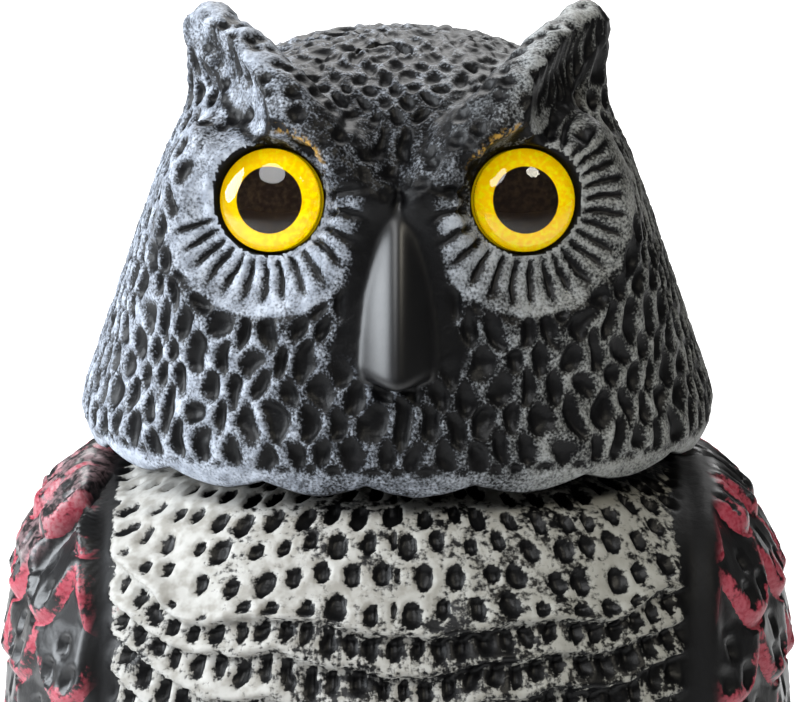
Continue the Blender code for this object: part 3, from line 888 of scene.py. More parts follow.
def pit_net(columns, rows, width, pitch, half_width, half_height):
    """1 in the pits of a staggered net, 0 on the ridges between them."""
    across = columns.off_whole()
    along = (rows * 0.5).off_whole() * 2
    own = (across * width / half_width) ** 2 + (along * pitch / half_height) ** 2
    across, along = 0.5 - across, 1 - along
    beside = (across * width / half_width) ** 2 + (along * pitch / half_height) ** 2
    return 1 - own.least(beside).root().eased(0.30, 1.18)


def head_relief(sizes, material):
    """Presses the pits, the ribs round the eyes and the brows' and ears' texture into the head."""
    g = Relief("Head Relief", sizes)
    drift = (g.noise(75, 1) - 0.5) * 1.5
    sway = (g.noise(95, 1) - 0.5) * 1.5
    swell = 0.78 + g.noise(130, 1) * 0.44
    count, pitch = g.size("Pits Around"), g.size("Pit Row Pitch")
    half_width = g.stored("pit_size") * g.size("Pit Width") * 0.5 * swell
    half_height = g.stored("pit_size") * g.size("Pit Height") * 0.5 * swell
    width = g.stored("radius") * (2 * math.pi) / count
    turns = g.stored("turns") * count + drift
    rows = g.stored("climb") / pitch + sway
    pit = pit_net(turns, rows, width, pitch, half_width, half_height) * g.stored("pits")
    side = g.part(g.place, 0) / CREST_PIT_WIDTH + drift
    deep = g.stored("over_top") / pitch + sway
    crest = pit_net(side, deep, CREST_PIT_WIDTH, pitch, half_width, half_height * 1.1)
    crest = crest * g.stored("crown_pits") * (0.45 + g.noise(60) * 0.8)
    pit = pit.most(crest * 0.72)
    turn = g.stored("eye_turns")
    lean = g.add("ShaderNodeMath", {"operation": "SINE"}, {0: turn * (2 * math.pi)})
    phase = turn * g.size("Ribs Around") + lean * 0.8 + (g.noise(160, 1) - 0.5) * 0.5
    groove = (1 - (phase.off_whole() * 2).eased(0.04, 0.60)) * g.stored("ribs")
    settings = {"voronoi_dimensions": "3D", "feature": "F1"}
    cells = g.add("ShaderNodeTexVoronoi", settings, {"Vector": g.place, "Scale": 185.0})
    dimple = (1 - cells.eased(0.12, 0.56)) * g.stored("brow")
    strand = g.part(g.place, 0) * EAR_STRANDS + drift * 3
    hollow = (1 - (strand.off_whole() * 2).eased(0.10, 0.80)) * g.stored("cup")
    pressed = pit * g.size("Pit Depth") + groove * g.size("Rib Depth")
    pressed = pressed + dimple * g.size("Dimple Depth") + hollow * g.size("Dimple Depth") * 0.6
    pressed = pressed + g.stored("slit") * CROWN_SLIT_DEPTH
    uneven = (g.noise(240, 3) - 0.5) * UNEVENNESS * (1 - g.stored("gloss"))
    lift = g.size("Pit Depth") * 0.22 * g.stored("pits") + g.stored("lid") * LID_RISE
    raised = (1 - pit) * (1 - groove * 0.82) * (1 - dimple * 0.8) * (1 - hollow * 0.7)
    raised = raised * (1 - g.stored("slit"))
    folded = (g.stored("brow") + g.stored("crown_pits")).least(1)
    folds = (g.noise(150) - 0.5) * FOLD_HEIGHT * folded
    g.close(lift + uneven + folds - pressed, {"raised": raised}, material)
    return g


def body_columns(angles):
    """The model's column, counted round from the front, at each angle."""
    columns = np.arange(CAD_COLUMNS + 1)
    even = 2 * math.pi * columns / CAD_COLUMNS
    return np.interp(angles, even + CAD_SIDE_BIAS * np.sin(2 * even), columns)


def mark_body(mesh):
    """Stores where each part of the pattern lies on the body."""
    places = places_of(mesh)
    p = np.column_stack([np.abs(places[:, 0]), places[:, 1], places[:, 2]])
    x, y, z = p.T
    angle = np.arctan2(places[:, 0], -y) % (2 * math.pi)
    shown = smooth_step(np.hypot(x, y), 0.045, 0.052)
    wing = wing_share(p)
    strap = smooth_step(y - read_curve(WING_EDGE, z), 0.0030, 0.0060)
    high = smooth_step(z, 0.190, 0.215) * (y < 0)
    begins = np.where(places[:, 0] < 0, 0.0722, 0.0755)
    strap = strap * (1 - high) + smooth_step(x, begins, begins + 0.0030) * high
    keep(mesh, "turns", angle / (2 * math.pi))
    keep(mesh, "scale_turns", body_columns(angle) / 2)
    sweep = np.where(places[:, 0] < 0, 0.010, 0.006) * smooth_step(x, 0.044, 0.070) * high
    keep(mesh, "level", z + BREAST_DROOP * np.cos(angle) ** 2 * (1 - wing) - sweep)
    keep(mesh, "height", z)
    rows = p[1:-1].reshape(-1, COLUMNS, 3)
    travel = np.linalg.norm(np.diff(rows, axis=0), axis=2).cumsum(axis=0)
    travel = np.concatenate([np.zeros((1, COLUMNS)), travel]).ravel()
    climb = z.copy()
    climb[1:-1] = travel + FOOT_HEIGHTS[0]
    keep(mesh, "climb", climb)

    # Feathers, ruffles and the paint on them
    legs = smooth_step(z, 0.048, 0.058)
    beside = 1 - high * smooth_step(x, 0.0655, 0.0695)
    keep(mesh, "scales", wing * strap * shown * legs)
    keep(mesh, "breast", (1 - wing) * shown * legs * beside)
    cream = (1 - wing) * smooth_step(x, 0.0715, 0.0675) * shown * smooth_step(y, -0.010, -0.020)
    keep(mesh, "cream", cream)
    # More cream on the owl's upper right shoulder, and less from the breast's middle towards the
    # owl's left (+X)
    filled = smooth_step(places[:, 0], -0.036, -0.056) * smooth_step(z, 0.250, 0.268)
    cream_shift = 0.15 * smooth_step(places[:, 0], -0.050, 0.010)
    cream_shift = cream_shift + 0.02 * smooth_step(places[:, 0], 0.0, 0.060)
    keep(mesh, "cream_shift", 0.45 * filled - cream_shift)
    red = wing * strap * smooth_step(z, 0.050, 0.075) * shown
    dab = smooth_step(np.abs(places[:, 0] + 0.0668), 0.0012, 0.0004) * (y < 0)
    dab = dab * smooth_step(np.abs(z - 0.262), 0.0052, 0.0040)
    keep(mesh, "red", np.maximum(red, dab * 0.9))

    # The slit in the shoulder and the strip behind it
    heights = np.linspace(*SLIT_REACH, 24)
    widest = [body_ring(np.array([math.pi / 2]), height)[0, 0] for height in heights]
    off = np.interp(z, heights, widest) - x
    reach = smooth_step(z, SLIT_REACH[0] - 0.001, SLIT_REACH[0] + 0.002) * (z < SLIT_REACH[1])
    reach = reach * (places[:, 0] < 0) * (y < 0.006) * smooth_step(x, 0.0690, 0.0720)
    keep(mesh, "slit", reach * smooth_step(np.abs(off - SLIT_INSET), 0.0014, 0.0005))
    keep(mesh, "strip", reach * smooth_step(off, SLIT_INSET - 0.0006, SLIT_INSET - 0.0016))
    tail = smooth_step(z, 0.068, 0.058) * smooth_step(y, 0.052, 0.058)
    keep(mesh, "tail", tail * smooth_step(z, 0.016, 0.019))


def feather_cells(g):
    """Where a place lies on its wing feather: height over the tip, distance from the middle,
    the feather's own chance number, and the dents pressed into it."""
    drift = (g.noise(110, 1) - 0.5) * 0.9
    wave = (g.noise(32, 1) - 0.5) * 1.8
    steps = (g.stored("height") - FIRST_ROW) / ROW_PITCH + 0.2 + wave * 0.12
    sides = (g.stored("scale_turns") + drift * 0.12).off_whole()
    step = steps.floor()
    sides = sides + (step % 2) * (0.5 - sides * 2)
    over = steps - step - (sides * 2) ** 2.2 * 0.72
    above = over.above(0)
    under = steps - step + 1 - (1 - sides * 2) ** 2.2 * 0.72
    over = above * over + (1 - above) * under
    sides = above * sides + (1 - above) * (0.5 - sides)
    odd = step % 2
    odd = above * odd + (1 - above) * (1 - odd)
    scale = (g.stored("scale_turns") + 0.5 - odd * 0.5).floor()
    key = g.add("ShaderNodeCombineXYZ", {}, {0: scale, 1: step + above})
    chance = g.add("ShaderNodeTexWhiteNoise", {"noise_dimensions": "3D"}, {"Vector": key}, "Value")
    low = (((sides - 0.15) / 0.085) ** 2 + ((over - 0.42) / 0.19) ** 2).root()
    high = ((sides / 0.075) ** 2 + ((over - 0.86) / 0.16) ** 2).root()
    return over, sides, chance, 1 - low.least(high).eased(0.50, 1.20)


def body_relief(sizes, material):
    """Presses the breast's pits and ruffles and the wings' feathers into the body."""
    g = Relief("Feather Relief", sizes)
    breast, scales = g.stored("breast"), g.stored("scales")
    turns = g.stored("turns")
    wave = (g.noise(32, 1) - 0.5) * 1.8 + (g.noise(90, 1) - 0.5) * 0.5
    bands = (g.stored("level") - FIRST_ROW) / g.size("Ruffle Pitch") + wave
    top_band = math.floor((LAST_ROW - FIRST_ROW) * 2 / ROW_PITCH + 0.5)
    band = bands.floor().least(top_band)
    up = bands - band
    lip = (1 - up * 0.85).most(0) ** 1.5 * up.eased(0.0, 0.12)
    drift = (g.noise(110, 1) - 0.5) * 0.9
    slot = (turns * g.size("Slots Around") + band * 0.37 + drift).off_whole()
    slot_width = BODY_GIRTH / g.size("Slots Around")
    slot = (slot * slot_width / SLOT_HALF_WIDTH) ** 2 + ((up - 0.66) / 0.32) ** 2
    slot = (1 - slot.root().eased(0.62, 1.08)) * (1 - (bands - top_band).eased(0.0, 0.02))
    rows = g.stored("climb") / g.size("Pit Pitch") + drift * 0.3
    row = rows.floor()
    cells = turns * BODY_GIRTH / g.size("Pit Pitch") + (row % 2) * 0.5
    cell = cells.floor()
    key = g.add("ShaderNodeCombineXYZ", {}, {0: cell, 1: row})
    luck = g.add("ShaderNodeTexWhiteNoise", {"noise_dimensions": "3D"}, {"Vector": key}, "Color")
    luck_x = g.part(luck, 0)
    luck_y = g.part(luck, 1)
    luck_size = g.part(luck, 2)
    off_x = (cells - cell - 0.5 - (luck_x - 0.5) * 0.34) * g.size("Pit Pitch") / BREAST_PIT[0]
    off_y = (rows - row - 0.5 - (luck_y - 0.5) * 0.30) * g.size("Pit Pitch") / BREAST_PIT[1]
    pit = (off_x**2 + off_y**2).root() / (0.68 + luck_size * 0.42)
    pit = (1 - pit.eased(0.66, 1.08)) * (bands - top_band).eased(0.10, 0.35)
    over, sides, _, dent = feather_cells(g)
    shell = (1 - over / 1.15).most(0) * over.eased(-0.05, 0.30) * (1 - (sides * 2) ** 2 * 0.45)
    uneven = (g.noise(230, 3) - 0.5) * 0.0005
    breast_lift = lip * g.size("Ruffle Height") - (slot + pit).least(1) * g.size("Pit Depth")
    scale_lift = shell * g.size("Scale Height") - dent * g.size("Pit Depth")
    lift = (breast_lift - 0.0010) * breast + (scale_lift - 0.0012) * scales + uneven
    lift = lift + g.stored("strip") * STRIP_RISE - g.stored("slit") * SHOULDER_SLIT_DEPTH
    quill = g.part(g.place, 0) / QUILL_PITCH
    between = 1 - (quill.off_whole() * 2).eased(0.0, 0.45)
    lift = lift - between * g.stored("tail") * QUILL_DEPTH
    raised = (1 - slot) * (1 - pit) * breast + (1 - dent) * scales
    raised = raised * (1 - g.stored("slit"))
    marks = {
        "raised": raised,
        "lip": lip * breast + shell * scales,
        "ruffled": (1 - (bands - top_band).eased(-0.1, 0.3)) * breast,
    }
    g.close(lift, marks, material)
    return g


def from_axis(g, across=0.0, up=0.0):
    """The distance from a line along the nearer eye's axis, moved across and up from its centre."""
    frame = facing(EYE_TURN_OUT, EYE_TURN_UP)
    centre = np.array(EYE_CENTRE) + (0, 0, RIM_Z) + across * frame[0] + up * frame[1]
    x = g.part(g.place, 0).maths("ABSOLUTE")
    values = {0: x - float(centre[0])}
    for axis in (1, 2):
        place = g.part(g.place, axis)
        values[axis] = place - float(centre[axis])
    off = g.add("ShaderNodeCombineXYZ", {}, values)
    normal = tuple(float(value) for value in frame[2])
    crossed = g.add("ShaderNodeVectorMath", {"operation": "CROSS_PRODUCT"}, {0: off, 1: normal})
    return g.add("ShaderNodeVectorMath", {"operation": "LENGTH"}, {0: crossed}, "Value")


def misted_plastic(paint):
    """The head: black moulded plastic with silver paint misted over what is raised, and painted
    shade: less, warmer silver on the owl's left and little silver under the eye discs.
    """
    g = Finish("misted plastic", Specular_IOR_Level=0.17, Coat_Roughness=0.34)
    raised, mist_and_shade, gloss = g.stored("raised"), g.stored("mist_and_shade"), g.stored("gloss")
    speckle = g.noise(1500)
    cloud = g.noise(130, 3)
    cover = raised * 0.95 + mist_and_shade * 0.45 + (speckle - 0.5) * 1.15 + (cloud - 0.5) * 0.9
    past_rim = from_axis(g).eased(0.0131, 0.0138)
    gap = 1 - past_rim * from_axis(g, -0.0048, 0.0004).eased(0.0151, 0.0172)
    cover = cover.eased(0.92, 1.62) * mist_and_shade.eased(0.02, 0.30) * (1 - gap * g.stored("eye_zone"))
    dull = g.noise(320)
    silver = g.mixed(dull.eased(0.3, 0.7), (*paint.silver_dark, 1), (*paint.silver, 1))
    # Painted shade: the silver turns greyer and warmer towards the owl's left (+X), away from the
    # key light
    shaded_side = g.part(g.place, 0).eased(-0.01, 0.05)
    silver = g.mixed(shaded_side * 0.75, silver, (*paint.silver_shaded, 1))
    colour = g.mixed(cover * (1 - g.stored("slit")), (*paint.plastic, 1), silver)
    chips = g.stored("chips") * (g.noise(700) + raised * 0.1).eased(0.52, 0.70)
    colour = g.mixed(chips, colour, (*paint.chip, 1))
    g.feed("Base Color", colour)
    g.feed("Roughness", 0.42 + cover * 0.20 + (dull - 0.5) * 0.12)
    g.feed("Coat Weight", gloss * 0.55)
    grain = speckle * 0.35 + g.noise(600) * (1 - gloss)
    g.bump(grain, GRAIN_HEIGHT, 0.6)
    return g.material


def painted_plastic(paint):
    """The body: cream paint dragged over the breast's ridges, red on the feathers' rims, and
    painted shade that greys the cream on the owl's left and, in part, under each ruffle.
    """
    g = Finish("painted plastic", Specular_IOR_Level=0.22, Coat_Roughness=0.28)
    raised, ruffled = g.stored("raised"), g.stored("ruffled")
    drag = g.noise(1.0, 3, g.stretched((330, 420, 620)), 0.6)
    hang = g.noise(1.0, 2, g.stretched((1000, 600, 170)))
    fine = g.noise(900)
    cloud = g.noise(55, 3)
    ragged = g.noise(260, 3)
    # Less cream away from each ruffle's lip: partly thinner paint, partly painted shade under the
    # ruffle above
    thin = ruffled * (1 - g.stored("lip")) * 0.20
    cream = raised + (drag - 0.5) * 0.9 + (fine - 0.5) * 0.8 + (cloud - 0.5) * 1.1 - thin
    cream = cream + (hang - 0.5) * 0.7 * ruffled + (ragged - 0.5) * 0.8 + g.stored("cream_shift")
    cream = cream - (1 - g.stored("cream")) * 0.8
    cream = cream.eased(0.62, 0.94) * g.stored("cream").eased(0.02, 0.30)
    dusty = g.noise(330)
    shade = g.mixed(dusty.eased(0.35, 0.7), (*paint.cream, 1), (*paint.cream_dark, 1))
    # Painted shade: the cream turns greyer and warmer towards the owl's left (+X), away from the
    # key light
    shaded_side = g.part(g.place, 0).eased(-0.03, 0.06)
    shade = g.mixed(shaded_side * 0.65, shade, (*paint.cream_shaded, 1))
    colour = g.mixed(cream, (*paint.plastic, 1), shade)
    over, _, chance, dent = feather_cells(g)
    red = 1 - over.eased(0.02, 0.80) - dent * 0.85 + (ragged - 0.5) * 1.5 + (cloud - 0.5) * 1.8
    red = (red + (chance - 0.5) * 0.5 + (fine - 0.5) * 0.9).eased(0.63, 0.98) * g.stored("red")
    rose = g.mixed((fine + raised * 0.1).eased(0.4, 0.75), (*paint.red, 1), (*paint.rose, 1))
    colour = g.mixed(red, colour, rose)
    strip = g.stored("strip") * (ragged * 0.6 + fine * 0.5).eased(0.46, 0.66) * 0.6
    colour = g.mixed(strip, colour, (*paint.strip, 1))
    colour = g.mixed(g.stored("slit"), colour, (*paint.plastic, 1))
    dust = (g.stored("lip") * 0.5 + (fine - 0.5) * 0.8 + (cloud - 0.5)).eased(0.42, 0.9) * 0.30
    dust = dust * (1 - g.stored("breast"))
    colour = g.mixed(dust, colour, (*paint.silver_dark, 1))
    g.feed("Base Color", colour)
    rough = 0.40 + cream * 0.16 + red * 0.08 + (dusty - 0.5) * 0.12
    g.feed("Roughness", rough + (1 - g.stored("scales")) * (1 - g.stored("breast")) * 0.22)
    g.feed("Coat Weight", g.stored("scales") * (1 - red * 0.5) * 0.40)
    g.bump(fine * 0.5 + cream * 0.8 + g.noise(500), GRAIN_HEIGHT, 0.6)
    return g.material


def dusted_plastic(paint):
    """The base and feet: black plastic with a little silver rubbed on."""
    g = Finish("dusted plastic", IOR=1.5)
    dust = g.noise(900) * 0.6 + g.noise(70, 3) * 0.6
    dust = dust.eased(0.60, 0.90) * 0.6
    g.feed("Base Color", g.mixed(dust, (*paint.plastic, 1), (*paint.silver_dark, 1)))
    g.feed("Roughness", 0.38 + dust * 0.2)
    g.bump(g.noise(500), GRAIN_HEIGHT, 0.6)
    return g.material


def iris_paint(paint):
    """The disc under the lens: a yellow iris and a brown-black pupil, with painted light: the iris
    glows a little, and painted shade deepens the far left of the left eye's iris.
    """
    g = Finish("iris paint", Roughness=0.35, Specular_IOR_Level=0.0, Emission_Strength=0.30)
    spread = g.stored("spread")
    fleck = g.noise(900, 3)
    # Painted shade: over the far left of the left eye's iris the flecks mostly keep the deep yellow
    outer = g.part(g.place, 0).eased(-0.040, -0.026)
    bright = fleck.eased(0.40, 0.66) * (0.25 + outer * 0.75)
    yellow = g.mixed(bright, (*paint.iris_dark, 1), (*paint.iris, 1))
    edge = (spread + (fleck - 0.5) * 0.008).eased(paint.pupil_share, paint.pupil_share + 0.02)
    pupil = g.mixed(fleck.eased(0.35, 0.75), (*paint.pupil, 1), (*paint.pupil_light, 1))
    g.feed("Base Color", g.mixed(edge, pupil, yellow))
    # Painted light: the iris glows a little (strength set above), standing in for light that the
    # clear lens keeps from it
    g.feed("Emission Color", g.mixed(edge, (0, 0, 0, 1), yellow))
    return g.material


def clear_lens():
    """Clear moulded plastic."""
    return Finish(
        "clear lens", Base_Color=(1, 1, 1, 1), Roughness=0.05, IOR=1.49, Transmission_Weight=1.0
    ).material


class DecoySizes(bpy.types.PropertyGroup):
    """Sizes of the pattern pressed into the owl."""

    pits_around: bpy.props.IntProperty(
        name="Pits Around", description="Pits in one row round the head", default=66
    )
    pit_row_pitch: bpy.props.FloatProperty(
        name="Pit Row Pitch", description="Height of a row of the head's pits",
        default=0.0070, unit="LENGTH"
    )
    pit_width: bpy.props.FloatProperty(
        name="Pit Width", description="Width of a pit on the head", default=0.0052, unit="LENGTH"
    )
    pit_height: bpy.props.FloatProperty(
        name="Pit Height", description="Height of a pit on the head", default=0.0092, unit="LENGTH"
    )
    pit_depth: bpy.props.FloatProperty(
        name="Pit Depth", description="Depth of the pits", default=0.0018, unit="LENGTH"
    )
    ribs_around: bpy.props.IntProperty(
        name="Ribs Around", description="Ribs in a full turn round an eye", default=29
    )
    rib_depth: bpy.props.FloatProperty(
        name="Rib Depth", description="Depth of the grooves between ribs",
        default=0.0013, unit="LENGTH"
    )
    dimple_depth: bpy.props.FloatProperty(
        name="Dimple Depth", description="Depth of the brows' dimples",
        default=0.0013, unit="LENGTH"
    )
    breast_pit_pitch: bpy.props.FloatProperty(
        name="Breast Pit Pitch", description="Spacing of the pits under the head",
        default=0.0083, unit="LENGTH"
    )
    ruffle_height: bpy.props.FloatProperty(
        name="Ruffle Height", description="How far a ruffle of the breast stands out",
        default=0.0042, unit="LENGTH"
    )
    slots_around: bpy.props.IntProperty(
        name="Slots Around", description="Slots under one ruffle, all the way round", default=100
    )
    scale_height: bpy.props.FloatProperty(
        name="Scale Height", description="How far a wing feather's rim stands out",
        default=0.0046, unit="LENGTH"
    )
    lens_rise: bpy.props.FloatProperty(
        name="Lens Rise", description="Height of an eye's dome", default=0.0056, unit="LENGTH"
    )


class DecoyPaint(bpy.types.PropertyGroup):
    """Colours of the owl's plastic and paint."""

    plastic: bpy.props.FloatVectorProperty(
        name="Plastic", description="Moulded plastic", subtype="COLOR",
        default=(0.0030, 0.0030, 0.0035)
    )
    silver: bpy.props.FloatVectorProperty(
        name="Silver", description="Paint misted on the head", subtype="COLOR",
        default=(0.44, 0.48, 0.55)
    )
    silver_dark: bpy.props.FloatVectorProperty(
        name="Dull Silver", description="Where that paint is thin", subtype="COLOR",
        default=(0.24, 0.265, 0.31)
    )
    cream: bpy.props.FloatVectorProperty(
        name="Cream", description="Paint on the breast", subtype="COLOR",
        default=(0.42, 0.415, 0.395)
    )
    cream_dark: bpy.props.FloatVectorProperty(
        name="Dull Cream", description="Where that paint is thin", subtype="COLOR",
        default=(0.28, 0.27, 0.245)
    )
    red: bpy.props.FloatVectorProperty(
        name="Red", description="Paint on the wing feathers", subtype="COLOR",
        default=(0.28, 0.020, 0.040)
    )
    rose: bpy.props.FloatVectorProperty(
        name="Rose", description="Where that paint is dry", subtype="COLOR",
        default=(0.36, 0.065, 0.09)
    )
    # Painted shade: the silver's colour on the owl's left, the side away from the key light
    silver_shaded: bpy.props.FloatVectorProperty(
        name="Shaded Silver",
        description="Silver paint where it is greyer, on the owl's left",
        default=(0.30, 0.30, 0.265),
        subtype="COLOR",
    )
    # Painted shade: the cream's colour on the owl's left, the side away from the key light
    cream_shaded: bpy.props.FloatVectorProperty(
        name="Shaded Cream",
        description="Cream paint where it is greyer, on the owl's left",
        default=(0.30, 0.30, 0.265),
        subtype="COLOR",
    )
    strip: bpy.props.FloatVectorProperty(
        name="Strip",
        description="Faded paint on the strip behind the shoulder's slit",
        default=(0.30, 0.20, 0.21),
        subtype="COLOR",
    )
    chip: bpy.props.FloatVectorProperty(
        name="Chip", description="Old paint beside the eyes", subtype="COLOR",
        default=(0.42, 0.24, 0.04)
    )
    iris: bpy.props.FloatVectorProperty(
        name="Iris", description="The eye's ring", subtype="COLOR", default=(1.0, 0.80, 0.0)
    )
    # Also the painted shade over the far left of the left eye's iris
    iris_dark: bpy.props.FloatVectorProperty(
        name="Deep Iris", description="Flecks in the eye's ring", subtype="COLOR",
        default=(1.0, 0.62, 0.0)
    )
    pupil: bpy.props.FloatVectorProperty(
        name="Pupil", description="The eye's middle", subtype="COLOR",
        default=(0.012, 0.007, 0.005)
    )
    pupil_light: bpy.props.FloatVectorProperty(
        name="Pupil Fleck", description="Flecks in the eye's middle", subtype="COLOR",
        default=(0.034, 0.022, 0.013)
    )
    pupil_share: bpy.props.FloatProperty(
        name="Pupil Share", description="The pupil's share of the iris's width",
        default=0.63, min=0.1, max=0.9, subtype="FACTOR"
    )


class BuildHead(bpy.types.Operator):
    """Builds the head's moulding over the model's head"""

    bl_idname = "decoy.build_head"
    bl_label = "Build Head"

    def execute(self, context):
        sizes = context.scene.decoy_sizes
        angles = column_angles(COLUMNS, HEAD_FRONT_BIAS)
        shares = even_shares(head_points, HEAD_ROWS)
        outside = net(head_points, angles, shares[:-1])
        crown = head_points(angles[:1], shares[-1:])[0]
        rim = outside[0]
        radius = np.hypot(rim[:, 0], rim[:, 1])
        recess = RIM_Z + HEAD_RECESS
        inside = radius - SKIRT_WALL
        underside = [
            level_ring(angles, HEAD_MEAN_RADIUS, recess),
            level_ring(angles, inside - LIP_ROUNDING, recess),
            level_ring(angles, inside, rim[:, 2] + LIP_ROUNDING / 2),
            level_ring(angles, radius - LIP_ROUNDING, rim[:, 2] - LIP_ROUNDING / 2),
        ]
        rings = [*underside, *outside]
        mesh = mesh_of_rings("head_moulding", rings, (0, 0, recess), crown)
        mark_head(mesh)
        head = new_object("head_moulding", mesh)
        material = misted_plastic(context.scene.decoy_paint)
        mesh.materials.append(material)
        names = {
            "Pits Around": sizes.pits_around,
            "Pit Row Pitch": sizes.pit_row_pitch,
            "Pit Width": sizes.pit_width,
            "Pit Height": sizes.pit_height,
            "Pit Depth": sizes.pit_depth,
            "Ribs Around": sizes.ribs_around,
            "Rib Depth": sizes.rib_depth,
            "Dimple Depth": sizes.dimple_depth,
        }
        head_relief(names, material).press_into(head)
        cutters = [cut(head, self.neck_socket())]
        for side in (-1, 1):
            profile = ((SOCKET_RADIUS, -SOCKET_DEPTH), (SOCKET_RADIUS, 0.020))
            socket = turned("eye_socket", profile, LENS_SIDES)
            set_in_face(socket, side)
            cutters.append(cut(head, socket))
        baked(head)
        for cutter in cutters:
            bpy.data.objects.remove(cutter)
        finish_piece(head, "head", "head_plastic", "head")
        return {"FINISHED"}

    def neck_socket(self):
        top = SHOULDER_TOP + NECK_HEIGHT
        under_lip = top - NECK_LIP_HEIGHT - PIVOT_GAP
        profile = (
            (NECK_RADIUS + PIVOT_GAP, RIM_Z - 0.010),
            (NECK_RADIUS + PIVOT_GAP, under_lip),
            (NECK_LIP_RADIUS + PIVOT_GAP, under_lip),
            (NECK_LIP_RADIUS + PIVOT_GAP, top - NECK_CHAMFER + PIVOT_GAP),
            (NECK_LIP_RADIUS - NECK_CHAMFER + PIVOT_GAP, top + PIVOT_GAP),
        )
        return turned("neck_socket", profile, LENS_SIDES)


class BuildBody(bpy.types.Operator):
    """Builds the body's moulding over the model's body"""

    bl_idname = "decoy.build_body"
    bl_label = "Build Body"

    def execute(self, context):
        sizes = context.scene.decoy_sizes
        angles = column_angles(COLUMNS, BODY_FRONT_BIAS)
        fan_start = SHOULDER_TOP - SHOULDER_FAN_DROP
        low = np.arange(FOOT_HEIGHTS[0], HIGH_ROWS_FROM, LOW_ROW_GAP)
        high = np.arange(HIGH_ROWS_FROM, fan_start, HIGH_ROW_GAP)
        rings = [body_ring(angles, z) for z in (*low, *high)]
        rings += self.shoulder(angles)
        top = SHOULDER_TOP + NECK_HEIGHT
        for radius, height in (
            (NECK_RADIUS, SHOULDER_TOP),
            (NECK_RADIUS, top - NECK_LIP_HEIGHT),
            (NECK_LIP_RADIUS, top - NECK_LIP_HEIGHT),
            (NECK_LIP_RADIUS, top - NECK_CHAMFER),
            (NECK_LIP_RADIUS - NECK_CHAMFER, top),
        ):
            rings.append(level_ring(angles, radius, height))
        mesh = mesh_of_rings("body_moulding", rings, (0, 0, FOOT_HEIGHTS[0]), (0, 0, top))
        mark_body(mesh)
        body = new_object("body_moulding", mesh)
        material = painted_plastic(context.scene.decoy_paint)
        mesh.materials.append(material)
        names = {
            "Ruffle Pitch": ROW_PITCH / 2,
            "Ruffle Height": sizes.ruffle_height,
            "Slots Around": sizes.slots_around,
            "Pit Pitch": sizes.breast_pit_pitch,
            "Pit Depth": sizes.pit_depth,
            "Scale Height": sizes.scale_height,
        }
        body_relief(names, material).press_into(body)
        baked(body)
        finish_piece(body, "body", "body_plastic", "body")
        return {"FINISHED"}

    def shoulder(self, angles):
        rings = []
        for share in np.linspace(0, 1, SHOULDER_ROWS):
            lift = share * math.pi / 2
            origins = outward(angles) * (SHOULDER_FAN_RADIUS - SHOULDER_FAN_INSET * share)
            origins[:, 2] = SHOULDER_TOP - SHOULDER_FAN_DROP + SHOULDER_FAN_LIFT * share
            directions = outward(angles) * math.cos(lift)
            directions[:, 2] = math.sin(lift)
            rings.append(drop(origins, directions, body_form, 0.060))
        return rings


class BuildBase(bpy.types.Operator):
    """Builds the low base and the feet"""

    bl_idname = "decoy.build_base"
    bl_label = "Build Base and Feet"

    def execute(self, context):
        material = dusted_plastic(context.scene.decoy_paint)
        foot, *upper = BASE_PROFILE
        profile = [(0.60, foot[1]), foot, (1.018, 0.0008), *upper]
        mesh = turned("base_plinth", profile, 2 * LENS_SIDES)
        mesh.transform(Matrix.Diagonal((BASE_HALF_WIDTH, BASE_HALF_DEPTH, 1, 1)))
        base = new_object("base_plinth", mesh)
        mesh.materials.append(material)
        finish_piece(base, "body", "body_plastic", "body")
        mesh.set_sharp_from_angle(angle=SHARP_ANGLE)
        for side, name in ((-1, "left"), (1, "right")):
            for index, degrees in enumerate(TOE_ANGLES):
                toe_object = new_object(f"{name}_toe_{index + 1}", self.toe(side, index, degrees))
                toe_object.data.materials.append(material)
                finish_piece(toe_object, "body", "body_plastic", "body")
        return {"FINISHED"}

    def toe(self, side, index, degrees):
        """One toe, knuckled along its length, with a claw that curls over the base's edge."""
        heading = math.radians(degrees) * side
        length = TOE_LENGTHS[index]
        table = np.array(TOE_SECTIONS)
        turn = -column_angles(24)
        rings = []
        for step in np.linspace(0, 1, 34):
            share = table[0, 0] + (table[-1, 0] - table[0, 0]) * step
            lift = np.interp(share, table[:, 0], table[:, 1])
            thick = np.interp(share, table[:, 0], table[:, 2])
            knuckle = 0.06 * math.sin(share * 14) * (share < 0.9)
            radius = TOE_RADIUS * (thick * 0.97 + knuckle)
            across = np.sin(turn) * radius
            x = side * TOE_ROOT[0] + math.sin(heading) * share * length + math.cos(heading) * across
            y = TOE_ROOT[1] - math.cos(heading) * share * length + math.sin(heading) * across
            z = BASE_HEIGHT + lift - TOE_SINK + np.cos(turn) * radius
            rings.append(np.column_stack([x, y, z]))
        low, high = rings[0].mean(0), rings[-1].mean(0)
        return mesh_of_rings("toe", rings, low, high)


